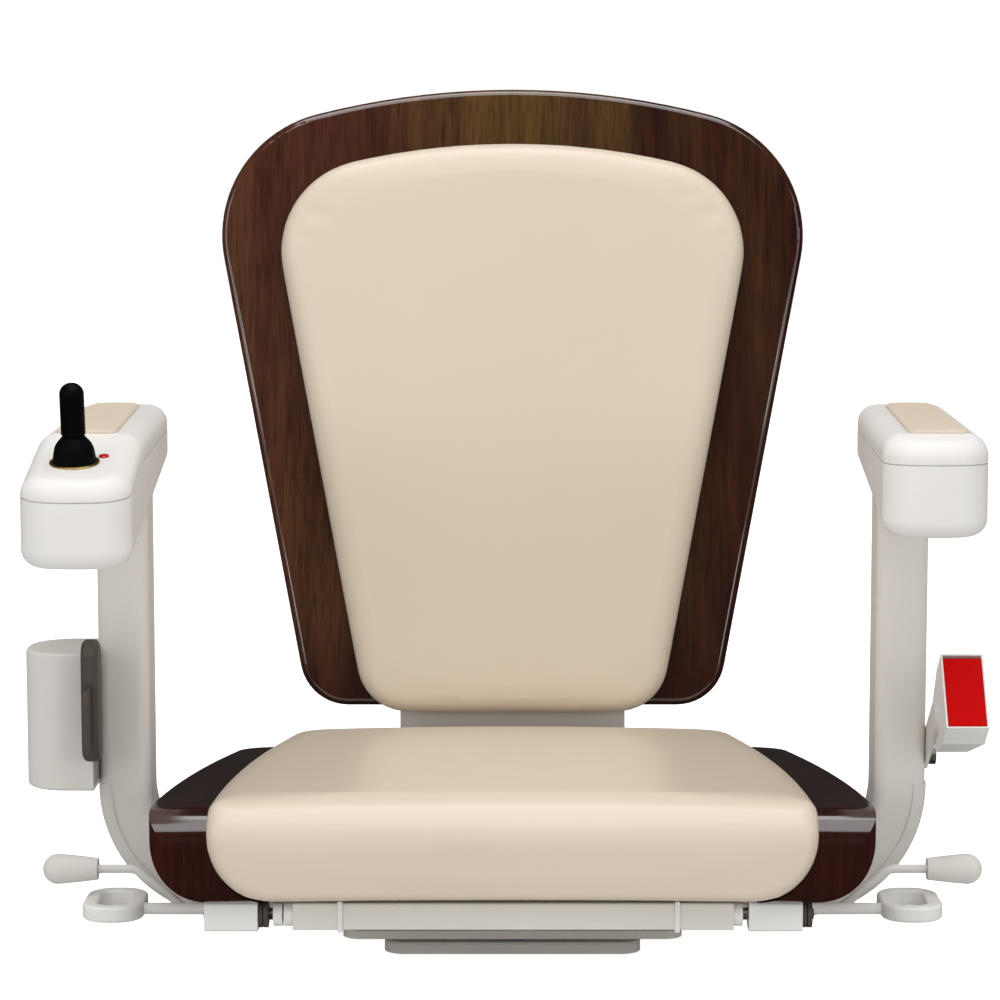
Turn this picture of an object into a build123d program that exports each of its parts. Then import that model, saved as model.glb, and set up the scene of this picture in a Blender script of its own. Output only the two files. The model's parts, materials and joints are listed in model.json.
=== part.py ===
import os
from math import atan2, cos, degrees, radians, sin, tan

from build123d import *

# A stairlift chair: a seat, backrest and two arms on a swivel, which bolts to a rail carriage.
# Millimetres. +Z is up, the chair faces -Y, and the swivel axis is Z through the origin.
# The origin is the centre of the base plate's underside. Left and right are as seen from the front.

# ---- Clearances
running_gap = 0.05  # radial, for every shaft that turns or slides in a bore
soft_gap = 0.3  # between a cushion and what it lies on
end_play = 0.3  # along the swivel axis
fit_gap = 0.3  # around loose-fitting rigid pieces

# ---- Swivel stack, from the base plate up
base_width = 180.0
base_depth = 170.0
base_thick = 8.0
base_corner = 14.0
carriage_pitch_x = 150.0
carriage_pitch_y = 140.0
carriage_hole = 5.5
index_radius = 80.0
index_thick = 6.0
index_screw_distance = 50.0
flange_screw_distance = 27.0
small_screw = 3.0
small_head = 5.0
small_head_high = 4.0
stud_flange = 34.0
stud_radius = 20.0
stud_thread = 16.0
thrust_thick = 2.0
turntable_thick = 6.0
turntable_front = -105.0
turntable_rear = 95.0
turntable_corner = 12.0
hub_wall = 14.0
hub_high = 17.7
bush_wall = 4.0
washer_thick = 3.0
nut_flats = 44.0
nut_high = 14.0

# ---- Swivel latch and its two levers
latch_distance = 70.0
latch_radius = 5.0
latch_travel = 6.0
latch_tip_gap = 0.3
latch_angles = (-180, -135, -90, -45, 0)
sleeve_radius = 11.0
sleeve_high = 12.0
yoke_low = 40.0
yoke_thick = 4.0
yoke_wide = 16.0
yoke_reach = 103.0
lug_thick = 6.0
lug_high = 16.0
bridge_low = 66.0
bridge_thick = 3.0
bridge_half = 14.0
bridge_leg = 4.0
bridge_leg_reach = 18.0
latch_top = 72.5
latch_wire = 0.9
latch_coil = 7.4
latch_turns = 5
lever_y = -110.0
lever_z = 39.0
lever_pivot_x = 135.0
lever_rod = 3.0
lever_slack = 0.8
lever_tail_x = 92.0
lever_knee_x = 226.0
lever_elbow_x = 260.0
lever_grip_z = 67.0
lever_bend = 14.0
lever_boss = 7.0
lever_boss_long = 12.0
lever_pin = 4.0
grip_start_x = 286.0
grip_end_x = 324.0
grip_radius = 10.5
saddle_thick = 4.0
saddle_end_x = 144.0

# ---- Pull loops
loop_y = -120.0
loop_stem_y = -130.0
loop_z = 44.0
loop_inner_x = 252.0
loop_outer_x = 294.0
loop_depth = 60.0
loop_thick = 11.0
loop_wall = 10.0
loop_corner = 18.0
loop_stem = 4.0
loop_travel = 8.0
loop_collar_x = 88.0
loop_collar_thick = 4.0
loop_collar = 8.0
pull_bush_radius = 7.0
pull_bush_flange = 9.0
pull_bush_flange_thick = 3.0
pull_bush_inner = 2.0
pull_wire = 0.8
pull_coil = 5.6
pull_turns = 4

# ---- Chair frame
plate_inner = 110.0
plate_thick = 8.0
plate_top = 66.0
plate_foot_front = -100.0
plate_foot_rear = 85.0
hinge_y = 105.0
hinge_z = 80.0
hinge_pin = 5.0
hinge_lug = 11.0
cross_front = -220.0
cross_deep = 18.0
cross_low = 52.0
cross_high = 18.0
cross_wall = 2.5
cross_left = -144.0
cross_right = 145.0
shaft_radius = 4.0
clip_wide = 3.0
clip_thick = 1.2
clip_left_x = -113.0
clip_right_x = 108.0
block_wide = 35.0
block_right_x = 155.0
block_left_x = -202.0
block_margin = 1.0
end_washer = 9.0
end_washer_thick = 3.0
collar_radius = 8.0
collar_thick = 6.0
bolt_radius = 5.0
bolt_head = 8.0
bolt_head_high = 6.0
screw_radius = 3.0
screw_head = 5.0
screw_head_high = 4.0

# ---- Arms
arm_y = -31.5
arm_thick = 36.0
arm_deep = 47.0
arm_corner = 8.0
arm_wall = 3.0
arm_bend_x = 198.0
arm_bend_z = 112.0
arm_bend_inner = 58.0
arm_top = 324.0
arm_flange_thick = 8.0
arm_flange_margin = 5.0
arm_bolt_spread = 25.0
trim_thick = 1.0
trim_reach = 9.0
trim_top = 115.0
trim_inner_x = 160.0

# ---- Armrests
rest_inner_front = 241.0
rest_outer_front = 310.0
rest_inner_rear = 252.0
rest_outer_rear = 318.0
rest_rear = 57.0
rest_top = 376.0
rest_tail_deep = 43.0
rest_wall = 5.0
rest_roof = 8.0
rest_bow = 6.0
rest_front_corner = 22.0
rest_rear_corner = 18.0
rest_edge = 13.0
rest_sole_edge = 11.0
rest_seam_gap = 0.9
rest_seam_deep = 1.2
rest_seam = 357.0
rest_knee = -190.0
right_front = -215.0
right_bottom = 308.0
right_brow = 371.0
right_seam_front = 357.0
left_front = -300.0
left_bottom = 299.0
left_brow = 355.0
left_seam_front = 341.0
pivot_y = 0.0
pivot_z = 338.0
pivot_pin = 4.5
pivot_boss = 11.0
sole_opening_rear = 37.0
head_wide = 30.0
head_top = 350.0
head_front = -52.0
ear_thick = 4.5
ear_radius = 8.0
pad_front_inner = 259.0
pad_front_outer = 299.0
pad_rear_inner = 270.0
pad_rear_outer = 304.0
pad_rear_y = 34.0
pad_corner = 13.0
pad_proud = 2.2
pad_sunk = 4.5
pad_edge = 2.0

# ---- Joystick, on the left armrest's sloping top
stick_x = -276.9
stick_y = -255.0
stick_ring = 16.0
stick_ring_high = 1.2
stick_ring_bore = 13.9
stick_hole = 14.5
stick_grip = 7.75
stick_grip_low = 19.0
stick_top = 52.0
stick_rod = 4.0
stick_pivot_deep = 17.0
stick_pin = 2.5
stick_eye = 6.0
stick_eye_long = 12.0
gimbal_flange = 20.0
gimbal_thick = 3.0
gimbal_window = 10.0
gimbal_ear = 3.0
boot_bore = 5.0
boot_neck = 6.3
boot_skin = 1.6
lamp_x = -260.0
lamp_y = -242.0
lamp_radius = 3.4
board_long = 70.0
board_wide = 44.0
board_thick = 1.6
board_pillar = 3.0
board_chip_high = 6.0

# ---- Belt retractor, on the left post
reel_outer_x = -341.5
reel_low = 116.0
reel_high = 213.0
reel_front = -85.0
reel_rear = -15.0
reel_wall = 2.5
reel_plate = 3.0
reel_corner = 30.0
reel_edge = 2.4
spool_x = -314.0
spool_y = -48.0
spool_core = 9.0
spool_flange = 18.5
spool_flange_thick = 2.0
spool_shaft = 4.0
belt_wide = 48.0
belt_thick = 1.2
belt_mid_z = 173.0
roll_gap = 0.3
grip_low = 140.0
grip_high = 225.0
grip_wide = 12.0
grip_deep = 24.0
blade_thick = 2.0
blade_high = 44.0
blade_reach = 28.0
blade_seat = 5.0
spring_case_high = 20.0
reel_ear = 3.0
reel_screw_y = -28.0

# ---- Buckle, on the right post
buckle_x = 309.0
buckle_y = -118.0
buckle_z = 193.0
buckle_pitch = 38.0
buckle_half_wide = 14.5
buckle_half_tall = 28.6
buckle_tail_wide = 11.0
buckle_tail_tall = 19.0
buckle_long = 55.0
buckle_straight = 24.0
buckle_rim = 1.2
buckle_cavity = 22.0
button_gap = 0.2
button_long = 17.0
button_proud = 0.8
button_travel = 4.0
tongue_slot = 2.6
anchor_thick = 2.5
anchor_y = -38.0
anchor_z = 134.0
anchor_radius = 11.0

# ---- Seat
seat_front = -235.0
seat_rear = 152.0
seat_bottom = 72.0
seat_top_front = 134.7
seat_top_rear = 101.0
seat_half_front = 236.8
seat_half_waist = 228.0
seat_half_rear = 205.0
seat_arc_front = -190.0
seat_arc_waist = -22.0
seat_roll = 22.0
seat_under_roll = 10.0
seat_side_roll = 44.0
seat_front_corner = 12.0
seat_rear_corner = 30.0
seat_wall = 10.0
trough_deep = 22.0
trough_deep_rear = 6.0
trough_skin = 8.0
trough_skin_rear = 4.5
board_low = 74.0
seat_board_thick = 8.0
board_rear = 88.0
bumper_radius = 7.0
bumper_rows = (-185.0, 40.0)
pillar_radius = 9.0
pillar_x = 150.0
pillar_rows = (-150.0, 60.0)
cushion_front = -241.0
cushion_rear = 147.0
cushion_top_front = 143.0
cushion_top_rear = 118.3
cushion_half_front = 198.0
cushion_half_waist = 190.0
cushion_half_rear = 165.0
cushion_roll = 30.0
cushion_crown = 5.0
cushion_edge = 6.0
cushion_rear_corner = 30.0
ear_start_x = 98.0
ear_wide = 8.0
hinge_leaf_thick = 4.0
hinge_leaf_front = 40.0
hinge_leaf_inner = 80.0

# ---- Backrest
back_y = 173.0
back_z = 130.0
recline = 8.0
back_thick = 14.0
back_half_low = 159.5
back_half_high = 242.0
back_corner_v = 433.0
back_crown_v = 482.4
back_low_corner = 38.0
back_high_corner = 98.0
back_edge = 5.0
pad_low_v = -4.0
pad_half_low = 113.0
pad_half_high = 190.4
pad_corner_v = 404.0
pad_crown_v = 436.0
pad_low_corner = 39.0
pad_high_corner = 71.0
pad_thick = 27.0
pad_side_thick = 20.0
pad_round = 9.0
post_half = 88.0
post_thick = 8.0
post_top_v = 200.0
post_leg_front = 50.0
post_screw_x = 60.0
post_screw_rows = (40.0, 160.0)
leg_bolt_x = 60.0
leg_bolt_rows = (62.0, 84.0)
panel_screw_long = 16.0

# ---- Heights and places worked out from the sizes above
index_top = base_thick + index_thick
turntable_low = index_top + thrust_thick
turntable_high = turntable_low + turntable_thick
hub_top = turntable_high + hub_high
stud_shoulder = hub_top + end_play
stud_top = stud_shoulder + washer_thick + nut_high + 1.0
bush_bore = stud_radius + running_gap
bush_radius = bush_bore + bush_wall
plate_outer = plate_inner + plate_thick
latch_tip = index_top + latch_tip_gap
cross_back = cross_front + cross_deep
cross_mid_y = cross_front + cross_deep / 2
cross_mid_z = cross_low + cross_high / 2
leg_z = arm_bend_z - arm_bend_inner - arm_thick / 2
arm_x = arm_bend_x + arm_bend_inner + arm_thick / 2
arm_outer_x = arm_x + arm_thick / 2
arm_front_y = arm_y - arm_deep / 2
lug_x = yoke_reach - lug_thick / 2
rest_tail = rest_top - rest_tail_deep
slope = radians(recline)


def ring(outer, inner, low, high):
    # A plain ring about the swivel axis
    with BuildPart() as body:
        with BuildSketch(Plane.XY.offset(low)):
            Circle(outer)
            Circle(inner, mode=Mode.SUBTRACT)
        extrude(amount=high - low)
    return body


def bolts(planes, radius, head, head_high, length):
    # Socket-head bolts in one group, each with its head on a plane and its shank behind it
    with BuildPart() as body:
        for plane in planes:
            with BuildSketch(plane):
                Circle(head)
            extrude(amount=head_high)
            with BuildSketch(plane):
                Circle(radius)
            extrude(amount=-length)
            with BuildSketch(plane.offset(head_high)):
                RegularPolygon(radius * 0.9, 6)
            extrude(amount=-head_high * 0.6, mode=Mode.SUBTRACT)
    return body


def coil(plane, radius, wire, length, turns):
    # An open coil spring that starts on the plane and rises along its normal
    rise = length - 2 * wire
    start = plane.offset(wire).origin
    with BuildPart() as body:
        with BuildLine():
            path = Helix(rise / turns, rise, radius, center=start, direction=plane.z_dir)
        with BuildSketch(Plane(origin=path @ 0, z_dir=path % 0)):
            Circle(wire)
        sweep(path=path, is_frenet=True)
    return body


# ==== Base ====
with BuildPart() as base_plate:
    with BuildSketch():
        RectangleRounded(base_width, base_depth, base_corner)
        with GridLocations(carriage_pitch_x, carriage_pitch_y, 2, 2):
            Circle(carriage_hole, mode=Mode.SUBTRACT)
        with PolarLocations(index_screw_distance, 4, start_angle=45):
            Circle(small_screw, mode=Mode.SUBTRACT)
        with PolarLocations(flange_screw_distance, 4):
            Circle(small_screw, mode=Mode.SUBTRACT)
    extrude(amount=base_thick)
    chamfer(base_plate.faces().sort_by(Axis.Z)[-1].outer_wire().edges(), 1.5)

with BuildPart() as index_plate:
    with BuildSketch(Plane.XY.offset(base_thick)):
        Circle(index_radius)
        Circle(stud_flange + fit_gap, mode=Mode.SUBTRACT)
        for angle in latch_angles:
            with PolarLocations(latch_distance, 1, start_angle=angle):
                Circle(latch_radius + 2 * fit_gap, mode=Mode.SUBTRACT)
    extrude(amount=index_thick)
    with Locations(Plane.XY.offset(index_top)):
        with PolarLocations(index_screw_distance, 4, start_angle=45):
            CounterBoreHole(small_screw, small_head + fit_gap, small_head_high)

with BuildPart() as swivel_stud:
    with BuildSketch(Plane.XY.offset(base_thick)):
        Circle(stud_flange)
    extrude(amount=index_thick)
    with BuildSketch(Plane.XY.offset(index_top)):
        Circle(stud_radius)
    extrude(amount=stud_shoulder - index_top)
    with BuildSketch(Plane.XY.offset(stud_shoulder)):
        Circle(stud_thread)
    extrude(amount=stud_top - stud_shoulder)
    chamfer(swivel_stud.faces().sort_by(Axis.Z)[-1].edges(), 1.0)
    with Locations(Plane.XY.offset(index_top)):
        with PolarLocations(flange_screw_distance, 4):
            CounterBoreHole(small_screw, small_head + fit_gap, small_head_high)

screw_seat = Plane.XY.offset(index_top - small_head_high)
screw_spots = [
    screw_seat.shift_origin(screw_seat.from_local_coords(spot.position))
    for spot in [
        *PolarLocations(index_screw_distance, 4, start_angle=45),
        *PolarLocations(flange_screw_distance, 4),
    ]
]
screw_long = index_top - small_head_high
small_screws = bolts(screw_spots, small_screw, small_head, small_head_high, screw_long)
washer_high = stud_shoulder + washer_thick
with BuildPart() as base_fasteners:
    # screws of the index plate and stud, then the stud's washer and nut
    add(small_screws.part)
    add(ring(bush_radius + hub_wall - 5.0, stud_thread + fit_gap, stud_shoulder, washer_high).part)
    with BuildSketch(Plane.XY.offset(washer_high)):
        RegularPolygon(nut_flats / 2, 6, major_radius=False)
        Circle(stud_thread, mode=Mode.SUBTRACT)
    extrude(amount=nut_high)
    nut_rim = base_fasteners.faces().sort_by(Axis.Z)[-1].outer_wire().edges()
    chamfer(nut_rim, 1.0)

# ==== Turntable and frame ====
with BuildPart() as turntable_plate:
    turntable_mid = (turntable_front + turntable_rear) / 2
    with BuildSketch(Plane.XY.offset(turntable_low)):
        with Locations((0, turntable_mid)):
            RectangleRounded(2 * plate_outer, turntable_rear - turntable_front, turntable_corner)
    extrude(amount=turntable_thick)
    with BuildSketch(Plane.XY.offset(turntable_high)):
        Circle(bush_radius + hub_wall)
    extrude(amount=hub_high)
    with BuildSketch(Plane.XY.offset(turntable_low)):
        Circle(bush_radius)
    extrude(amount=turntable_thick + hub_high, mode=Mode.SUBTRACT)
    with BuildSketch(Plane.XY.offset(turntable_low)):
        with Locations((0, -latch_distance)):
            Circle(latch_radius + 2 * running_gap)
        for row in leg_bolt_rows:
            with Locations((leg_bolt_x, row), (-leg_bolt_x, row)):
                Circle(bolt_radius)
    extrude(amount=turntable_thick, mode=Mode.SUBTRACT)

with BuildPart() as swivel_bushes:
    # the hub's sleeve and the thrust washer that the turntable runs on
    add(ring(bush_radius, bush_bore, turntable_low, hub_top).part)
    add(ring(stud_flange - 1.0, bush_radius, index_top, turntable_low).part)

with BuildPart() as side_plates:
    with BuildSketch(Plane.YZ.offset(plate_inner)):
        with BuildLine():
            Polyline(
                (cross_front + cross_wall, cross_low + cross_wall),
                (cross_back + 0.5, cross_low + cross_wall),
                (plate_foot_front, turntable_high),
                (plate_foot_rear, turntable_high),
                (hinge_y, hinge_z - hinge_lug),
                (hinge_y - hinge_lug * cos(radians(30)), hinge_z - hinge_lug * sin(radians(30))),
                (hinge_y - 2.5 * hinge_lug, plate_top),
                (cross_front + cross_wall, plate_top),
                close=True,
            )
        make_face()
        with Locations((hinge_y, hinge_z)):
            Circle(hinge_lug)
            Circle(hinge_pin, mode=Mode.SUBTRACT)
        with Locations((lever_y, lever_z)):
            Circle(lever_rod + latch_travel * 0.9, mode=Mode.SUBTRACT)
        with Locations((loop_stem_y, loop_z)):
            Circle(pull_bush_radius, mode=Mode.SUBTRACT)
        with Locations((cross_mid_y, cross_mid_z)):
            Circle(shaft_radius, mode=Mode.SUBTRACT)
        with Locations((arm_y - arm_bolt_spread / 2, leg_z), (arm_y + arm_bolt_spread / 2, leg_z)):
            Circle(bolt_radius, mode=Mode.SUBTRACT)
    extrude(amount=plate_thick)
    # two ears that carry the lever's pivot pin
    for ear_y in (
        lever_y - lever_boss_long / 2 - 1.0,
        lever_y + lever_boss_long / 2 + 1.0 + saddle_thick,
    ):
        with BuildSketch(Plane.XZ.offset(-ear_y)):
            with Locations(((plate_outer + saddle_end_x) / 2, lever_z)):
                Rectangle(saddle_end_x - plate_outer, 20)
            with Locations((lever_pivot_x, lever_z)):
                Circle(lever_pin, mode=Mode.SUBTRACT)
        extrude(amount=saddle_thick)
    mirror(about=Plane.YZ)

with BuildPart() as front_cross_member:
    with BuildSketch(Plane.YZ.offset(cross_left)):
        with Locations((cross_mid_y, cross_mid_z)):
            Rectangle(cross_deep, cross_high)
        with Locations((cross_mid_y + cross_wall, cross_mid_z)):
            Rectangle(cross_deep, cross_high - 2 * cross_wall, mode=Mode.SUBTRACT)
    extrude(amount=cross_right - cross_left)
    fillet(
        front_cross_member.edges().filter_by(Axis.X).group_by(Axis.Y)[0], 1.5
    )

with BuildPart() as front_clips:
    for clip_x in (clip_left_x, clip_right_x):
        with BuildSketch(Plane.YZ.offset(clip_x - clip_wide / 2)):
            with Locations((cross_front + clip_thick, cross_mid_z)):
                Rectangle(4 * clip_thick, cross_high + 2 * clip_thick)
            with Locations((cross_mid_y, cross_mid_z)):
                Rectangle(cross_deep, cross_high, mode=Mode.SUBTRACT)
        extrude(amount=clip_wide)

with BuildPart() as front_shaft:
    shaft_left = block_left_x - 1.0
    shaft_right = block_right_x + block_wide + 2 * end_washer_thick + 2.0
    with BuildSketch(Plane.YZ.offset(shaft_left)):
        with Locations((cross_mid_y, cross_mid_z)):
            Circle(shaft_radius)
    extrude(amount=shaft_right - shaft_left)
    chamfer(front_shaft.edges().filter_by(GeomType.CIRCLE), 0.8)

with BuildPart() as end_blocks:
    for block_x in (block_left_x, block_right_x):
        with BuildSketch(Plane.YZ.offset(block_x)):
            with Locations((cross_mid_y, cross_mid_z)):
                RectangleRounded(cross_deep + 2 * block_margin, cross_high + 2 * block_margin, 3)
                Circle(shaft_radius, mode=Mode.SUBTRACT)
        extrude(amount=block_wide)
    # collars between the blocks and the cross-member
    for collar_x in (cross_right, cross_left - collar_thick, cross_left - 2 * collar_thick - 1.0):
        with BuildSketch(Plane.YZ.offset(collar_x)):
            with Locations((cross_mid_y, cross_mid_z)):
                Circle(collar_radius)
                Circle(shaft_radius, mode=Mode.SUBTRACT)
        extrude(amount=collar_thick)

with BuildPart() as end_washers:
    washer_spots = (
        block_right_x + block_wide,
        block_right_x + block_wide + end_washer_thick + 0.6,
        block_left_x + block_wide,
        block_left_x + block_wide + end_washer_thick + 0.6,
    )
    for washer_x in washer_spots:
        with BuildSketch(Plane.YZ.offset(washer_x)):
            with Locations((cross_mid_y, cross_mid_z)):
                Circle(end_washer)
                Circle(shaft_radius, mode=Mode.SUBTRACT)
        extrude(amount=end_washer_thick)

# ==== Swivel latch ====
with BuildPart() as latch_housing:
    with BuildSketch(Plane.XY.offset(turntable_high)):
        with Locations((0, -latch_distance)):
            Circle(sleeve_radius)
    extrude(amount=sleeve_high)
    for leg_y in (-latch_distance - bridge_leg_reach - bridge_leg, -latch_distance + bridge_leg_reach):
        with BuildSketch(Plane.XY.offset(turntable_high)):
            with Locations((0, leg_y + bridge_leg / 2)):
                Rectangle(2 * bridge_half, bridge_leg)
        extrude(amount=bridge_low - turntable_high)
    with BuildSketch(Plane.XY.offset(bridge_low)):
        with Locations((0, -latch_distance)):
            Rectangle(2 * bridge_half, 2 * (bridge_leg_reach + bridge_leg))
    extrude(amount=bridge_thick)
    with BuildSketch(Plane.XY.offset(turntable_high)):
        with Locations((0, -latch_distance)):
            Circle(latch_radius + running_gap)
    extrude(amount=bridge_low, mode=Mode.SUBTRACT)

with BuildPart() as latch_pin:
    with BuildSketch(Plane.XY.offset(latch_tip)):
        with Locations((0, -latch_distance)):
            Circle(latch_radius)
    extrude(amount=latch_top - latch_tip)
    chamfer(latch_pin.edges().filter_by(GeomType.CIRCLE), 0.8)
    with BuildSketch(Plane.XY.offset(yoke_low)):
        with Locations((0, -latch_distance)):
            Rectangle(2 * yoke_reach, yoke_wide)
        arm_low = lever_y - yoke_wide / 2
        arm_high = -latch_distance + yoke_wide / 2
        for side in (-1, 1):
            with Locations((side * lug_x, (arm_low + arm_high) / 2)):
                Rectangle(lug_thick, arm_high - arm_low)
    extrude(amount=yoke_thick)
    for side in (-1, 1):
        with BuildSketch(Plane.YZ.offset(side * lug_x - lug_thick / 2)):
            with Locations((lever_y, lever_z)):
                Rectangle(yoke_wide, lug_high)
        extrude(amount=lug_thick)
        with BuildSketch(Plane.YZ.offset(side * lug_x - lug_thick / 2)):
            with Locations((lever_y, lever_z)):
                Circle(lever_rod + lever_slack)
        extrude(amount=lug_thick, mode=Mode.SUBTRACT)

spring_low = yoke_low + yoke_thick
latch_spring = coil(
    Plane(origin=(0, -latch_distance, spring_low)),
    latch_coil,
    latch_wire,
    bridge_low - spring_low,
    latch_turns,
)

with BuildPart() as lever_rod_right:
    with BuildLine(Plane.XZ.offset(-lever_y)):
        lever_path = FilletPolyline(
            (lever_tail_x, lever_z),
            (lever_knee_x, lever_z),
            (lever_elbow_x, lever_grip_z),
            (grip_end_x - grip_radius, lever_grip_z),
            radius=lever_bend,
        )
    with BuildSketch(Plane(origin=lever_path @ 0, z_dir=lever_path % 0)):
        Circle(lever_rod)
    sweep(path=lever_path)
    with BuildSketch(Plane.XZ.offset(-lever_y - lever_boss_long / 2)):
        with Locations((lever_pivot_x, lever_z)):
            Circle(lever_boss)
    extrude(amount=lever_boss_long)
    with BuildSketch(Plane.XZ.offset(-lever_y - lever_boss_long / 2)):
        with Locations((lever_pivot_x, lever_z)):
            Circle(lever_pin + running_gap)
    extrude(amount=lever_boss_long, mode=Mode.SUBTRACT)

with BuildPart() as lever_rod_left:
    mirror(lever_rod_right.part, about=Plane.YZ)

with BuildPart() as lever_grip_right:
    # turned about the rod: a waist where the fingers close, and a full round end
    with BuildSketch(Plane.XZ.offset(-lever_y)):
        with BuildLine():
            Line((grip_start_x, lever_grip_z), (grip_start_x, lever_grip_z + grip_radius * 0.72))
            Spline(
                (grip_start_x, lever_grip_z + grip_radius * 0.72),
                (grip_start_x + 12, lever_grip_z + grip_radius * 0.86),
                (grip_end_x - grip_radius, lever_grip_z + grip_radius),
            )
            CenterArc((grip_end_x - grip_radius, lever_grip_z), grip_radius, 0, 90)
            Line((grip_end_x, lever_grip_z), (grip_start_x, lever_grip_z))
        make_face()
    revolve(axis=Axis((0, lever_y, lever_grip_z), (1, 0, 0)))
    with BuildSketch(Plane.YZ.offset(grip_start_x)):
        with Locations((lever_y, lever_grip_z)):
            Circle(lever_rod)
    extrude(amount=grip_end_x - grip_radius - grip_start_x, mode=Mode.SUBTRACT)

with BuildPart() as lever_grip_left:
    mirror(lever_grip_right.part, about=Plane.YZ)

# ==== Pull loops ====
loop_x = (loop_inner_x + loop_outer_x) / 2
loop_wide = loop_outer_x - loop_inner_x
with BuildPart() as pull_loop_right:
    with BuildSketch(Plane.XY.offset(loop_z - loop_thick / 2)):
        with Locations((loop_x, loop_y)):
            RectangleRounded(loop_wide, loop_depth, loop_corner)
            RectangleRounded(
                loop_wide - 2 * loop_wall, loop_depth - 2 * loop_wall, 8, mode=Mode.SUBTRACT
            )
    extrude(amount=loop_thick)
    fillet(pull_loop_right.faces().filter_by(Axis.Z).edges(), 2.5)
    with BuildSketch(Plane.YZ.offset(loop_collar_x)):
        with Locations((loop_stem_y, loop_z)):
            Circle(loop_stem)
    extrude(amount=loop_inner_x + loop_wall / 2 - loop_collar_x)
    with BuildSketch(Plane.YZ.offset(loop_collar_x)):
        with Locations((loop_stem_y, loop_z)):
            Circle(loop_collar)
    extrude(amount=loop_collar_thick)

with BuildPart() as pull_loop_left:
    mirror(pull_loop_right.part, about=Plane.YZ)

with BuildPart() as pull_bushes:
    for side in (-1, 1):
        with BuildSketch(Plane.YZ.offset(side * (plate_inner - pull_bush_inner))):
            with Locations((loop_stem_y, loop_z)):
                Circle(pull_bush_radius)
        extrude(amount=side * (plate_thick + pull_bush_inner))
        with BuildSketch(Plane.YZ.offset(side * plate_outer)):
            with Locations((loop_stem_y, loop_z)):
                Circle(pull_bush_flange)
        extrude(amount=side * pull_bush_flange_thick)
        with BuildSketch(Plane.YZ.offset(side * (plate_inner - pull_bush_inner))):
            with Locations((loop_stem_y, loop_z)):
                Circle(loop_stem + running_gap)
        extrude(amount=side * 2 * plate_thick, mode=Mode.SUBTRACT)

spring_start = loop_collar_x + loop_collar_thick
spring_long = plate_inner - pull_bush_inner - spring_start
with BuildPart() as pull_springs:
    for side in (-1, 1):
        spring_plane = Plane(
            origin=(side * spring_start, loop_stem_y, loop_z), x_dir=(0, 1, 0), z_dir=(side, 0, 0)
        )
        add(coil(spring_plane, pull_coil, pull_wire, spring_long, pull_turns).part)

# ==== Arm posts ====
with BuildPart() as arm_post_right:
    with BuildLine(Plane.XZ.offset(-arm_y)) as arm_line:
        leg = Line((plate_outer, leg_z), (arm_bend_x, leg_z))
        bend = JernArc(leg @ 1, leg % 1, arm_bend_inner + arm_thick / 2, 90)
        Line(bend @ 1, (arm_x, arm_top))
    with BuildSketch(Plane.YZ.offset(plate_outer)):
        with Locations((arm_y, leg_z)):
            RectangleRounded(arm_deep, arm_thick, arm_corner)
            RectangleRounded(
                arm_deep - 2 * arm_wall,
                arm_thick - 2 * arm_wall,
                arm_corner - arm_wall,
                mode=Mode.SUBTRACT,
            )
    sweep(path=arm_line.line)
    # flange against the side plate
    with BuildSketch(Plane.YZ.offset(plate_outer)):
        with Locations((arm_y, leg_z)):
            RectangleRounded(
                arm_deep + 2 * arm_flange_margin, arm_thick + arm_flange_margin, arm_flange_margin
            )
            with Locations((-arm_bolt_spread / 2, 0), (arm_bolt_spread / 2, 0)):
                Circle(bolt_radius, mode=Mode.SUBTRACT)
    extrude(amount=arm_flange_thick)
    # solid head that closes the tube and carries the armrest's pivot
    with BuildSketch(Plane.YZ.offset(arm_x - head_wide / 2)):
        with BuildLine():
            Polyline(
                (head_front, arm_top - 20),
                (arm_y + arm_deep / 2 - arm_wall, arm_top - 20),
                (arm_y + arm_deep / 2 - arm_wall, arm_top),
                (pivot_y, pivot_z - pivot_boss),
                (pivot_y, head_top),
                (head_front, head_top),
                close=True,
            )
        make_face()
        with Locations((pivot_y, pivot_z)):
            Circle(pivot_boss)
            Circle(pivot_pin, mode=Mode.SUBTRACT)
    extrude(amount=head_wide)
    with BuildSketch(Plane.YZ.offset(arm_outer_x - arm_wall)):
        with Locations((anchor_y, anchor_z)):
            Circle(bolt_radius)
    extrude(amount=arm_wall, mode=Mode.SUBTRACT)

reel_screw_rows = (anchor_z, reel_high - 10.0)
with BuildPart() as arm_post_left:
    # the left post is the right one mirrored, with two small holes instead of the anchor's
    with BuildSketch(Plane.YZ.offset(arm_outer_x - arm_wall)):
        with Locations((anchor_y, anchor_z)):
            Circle(bolt_radius)
    extrude(amount=arm_wall)
    add(arm_post_right.part)
    with BuildSketch(Plane.YZ.offset(arm_outer_x - arm_wall)):
        for row in reel_screw_rows:
            with Locations((reel_screw_y, row)):
                Circle(screw_radius)
    extrude(amount=arm_wall, mode=Mode.SUBTRACT)
    mirror(about=Plane.YZ, mode=Mode.REPLACE)


def trim_section():
    # The trim's section: a skin around the outer third of the post's rounded box
    RectangleRounded(arm_deep + 2 * trim_thick, arm_thick + 2 * trim_thick, arm_corner + trim_thick)
    RectangleRounded(arm_deep, arm_thick, arm_corner, mode=Mode.SUBTRACT)
    with Locations((0, trim_reach)):
        Rectangle(arm_deep + 4 * trim_thick, arm_thick, mode=Mode.SUBTRACT)


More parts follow.
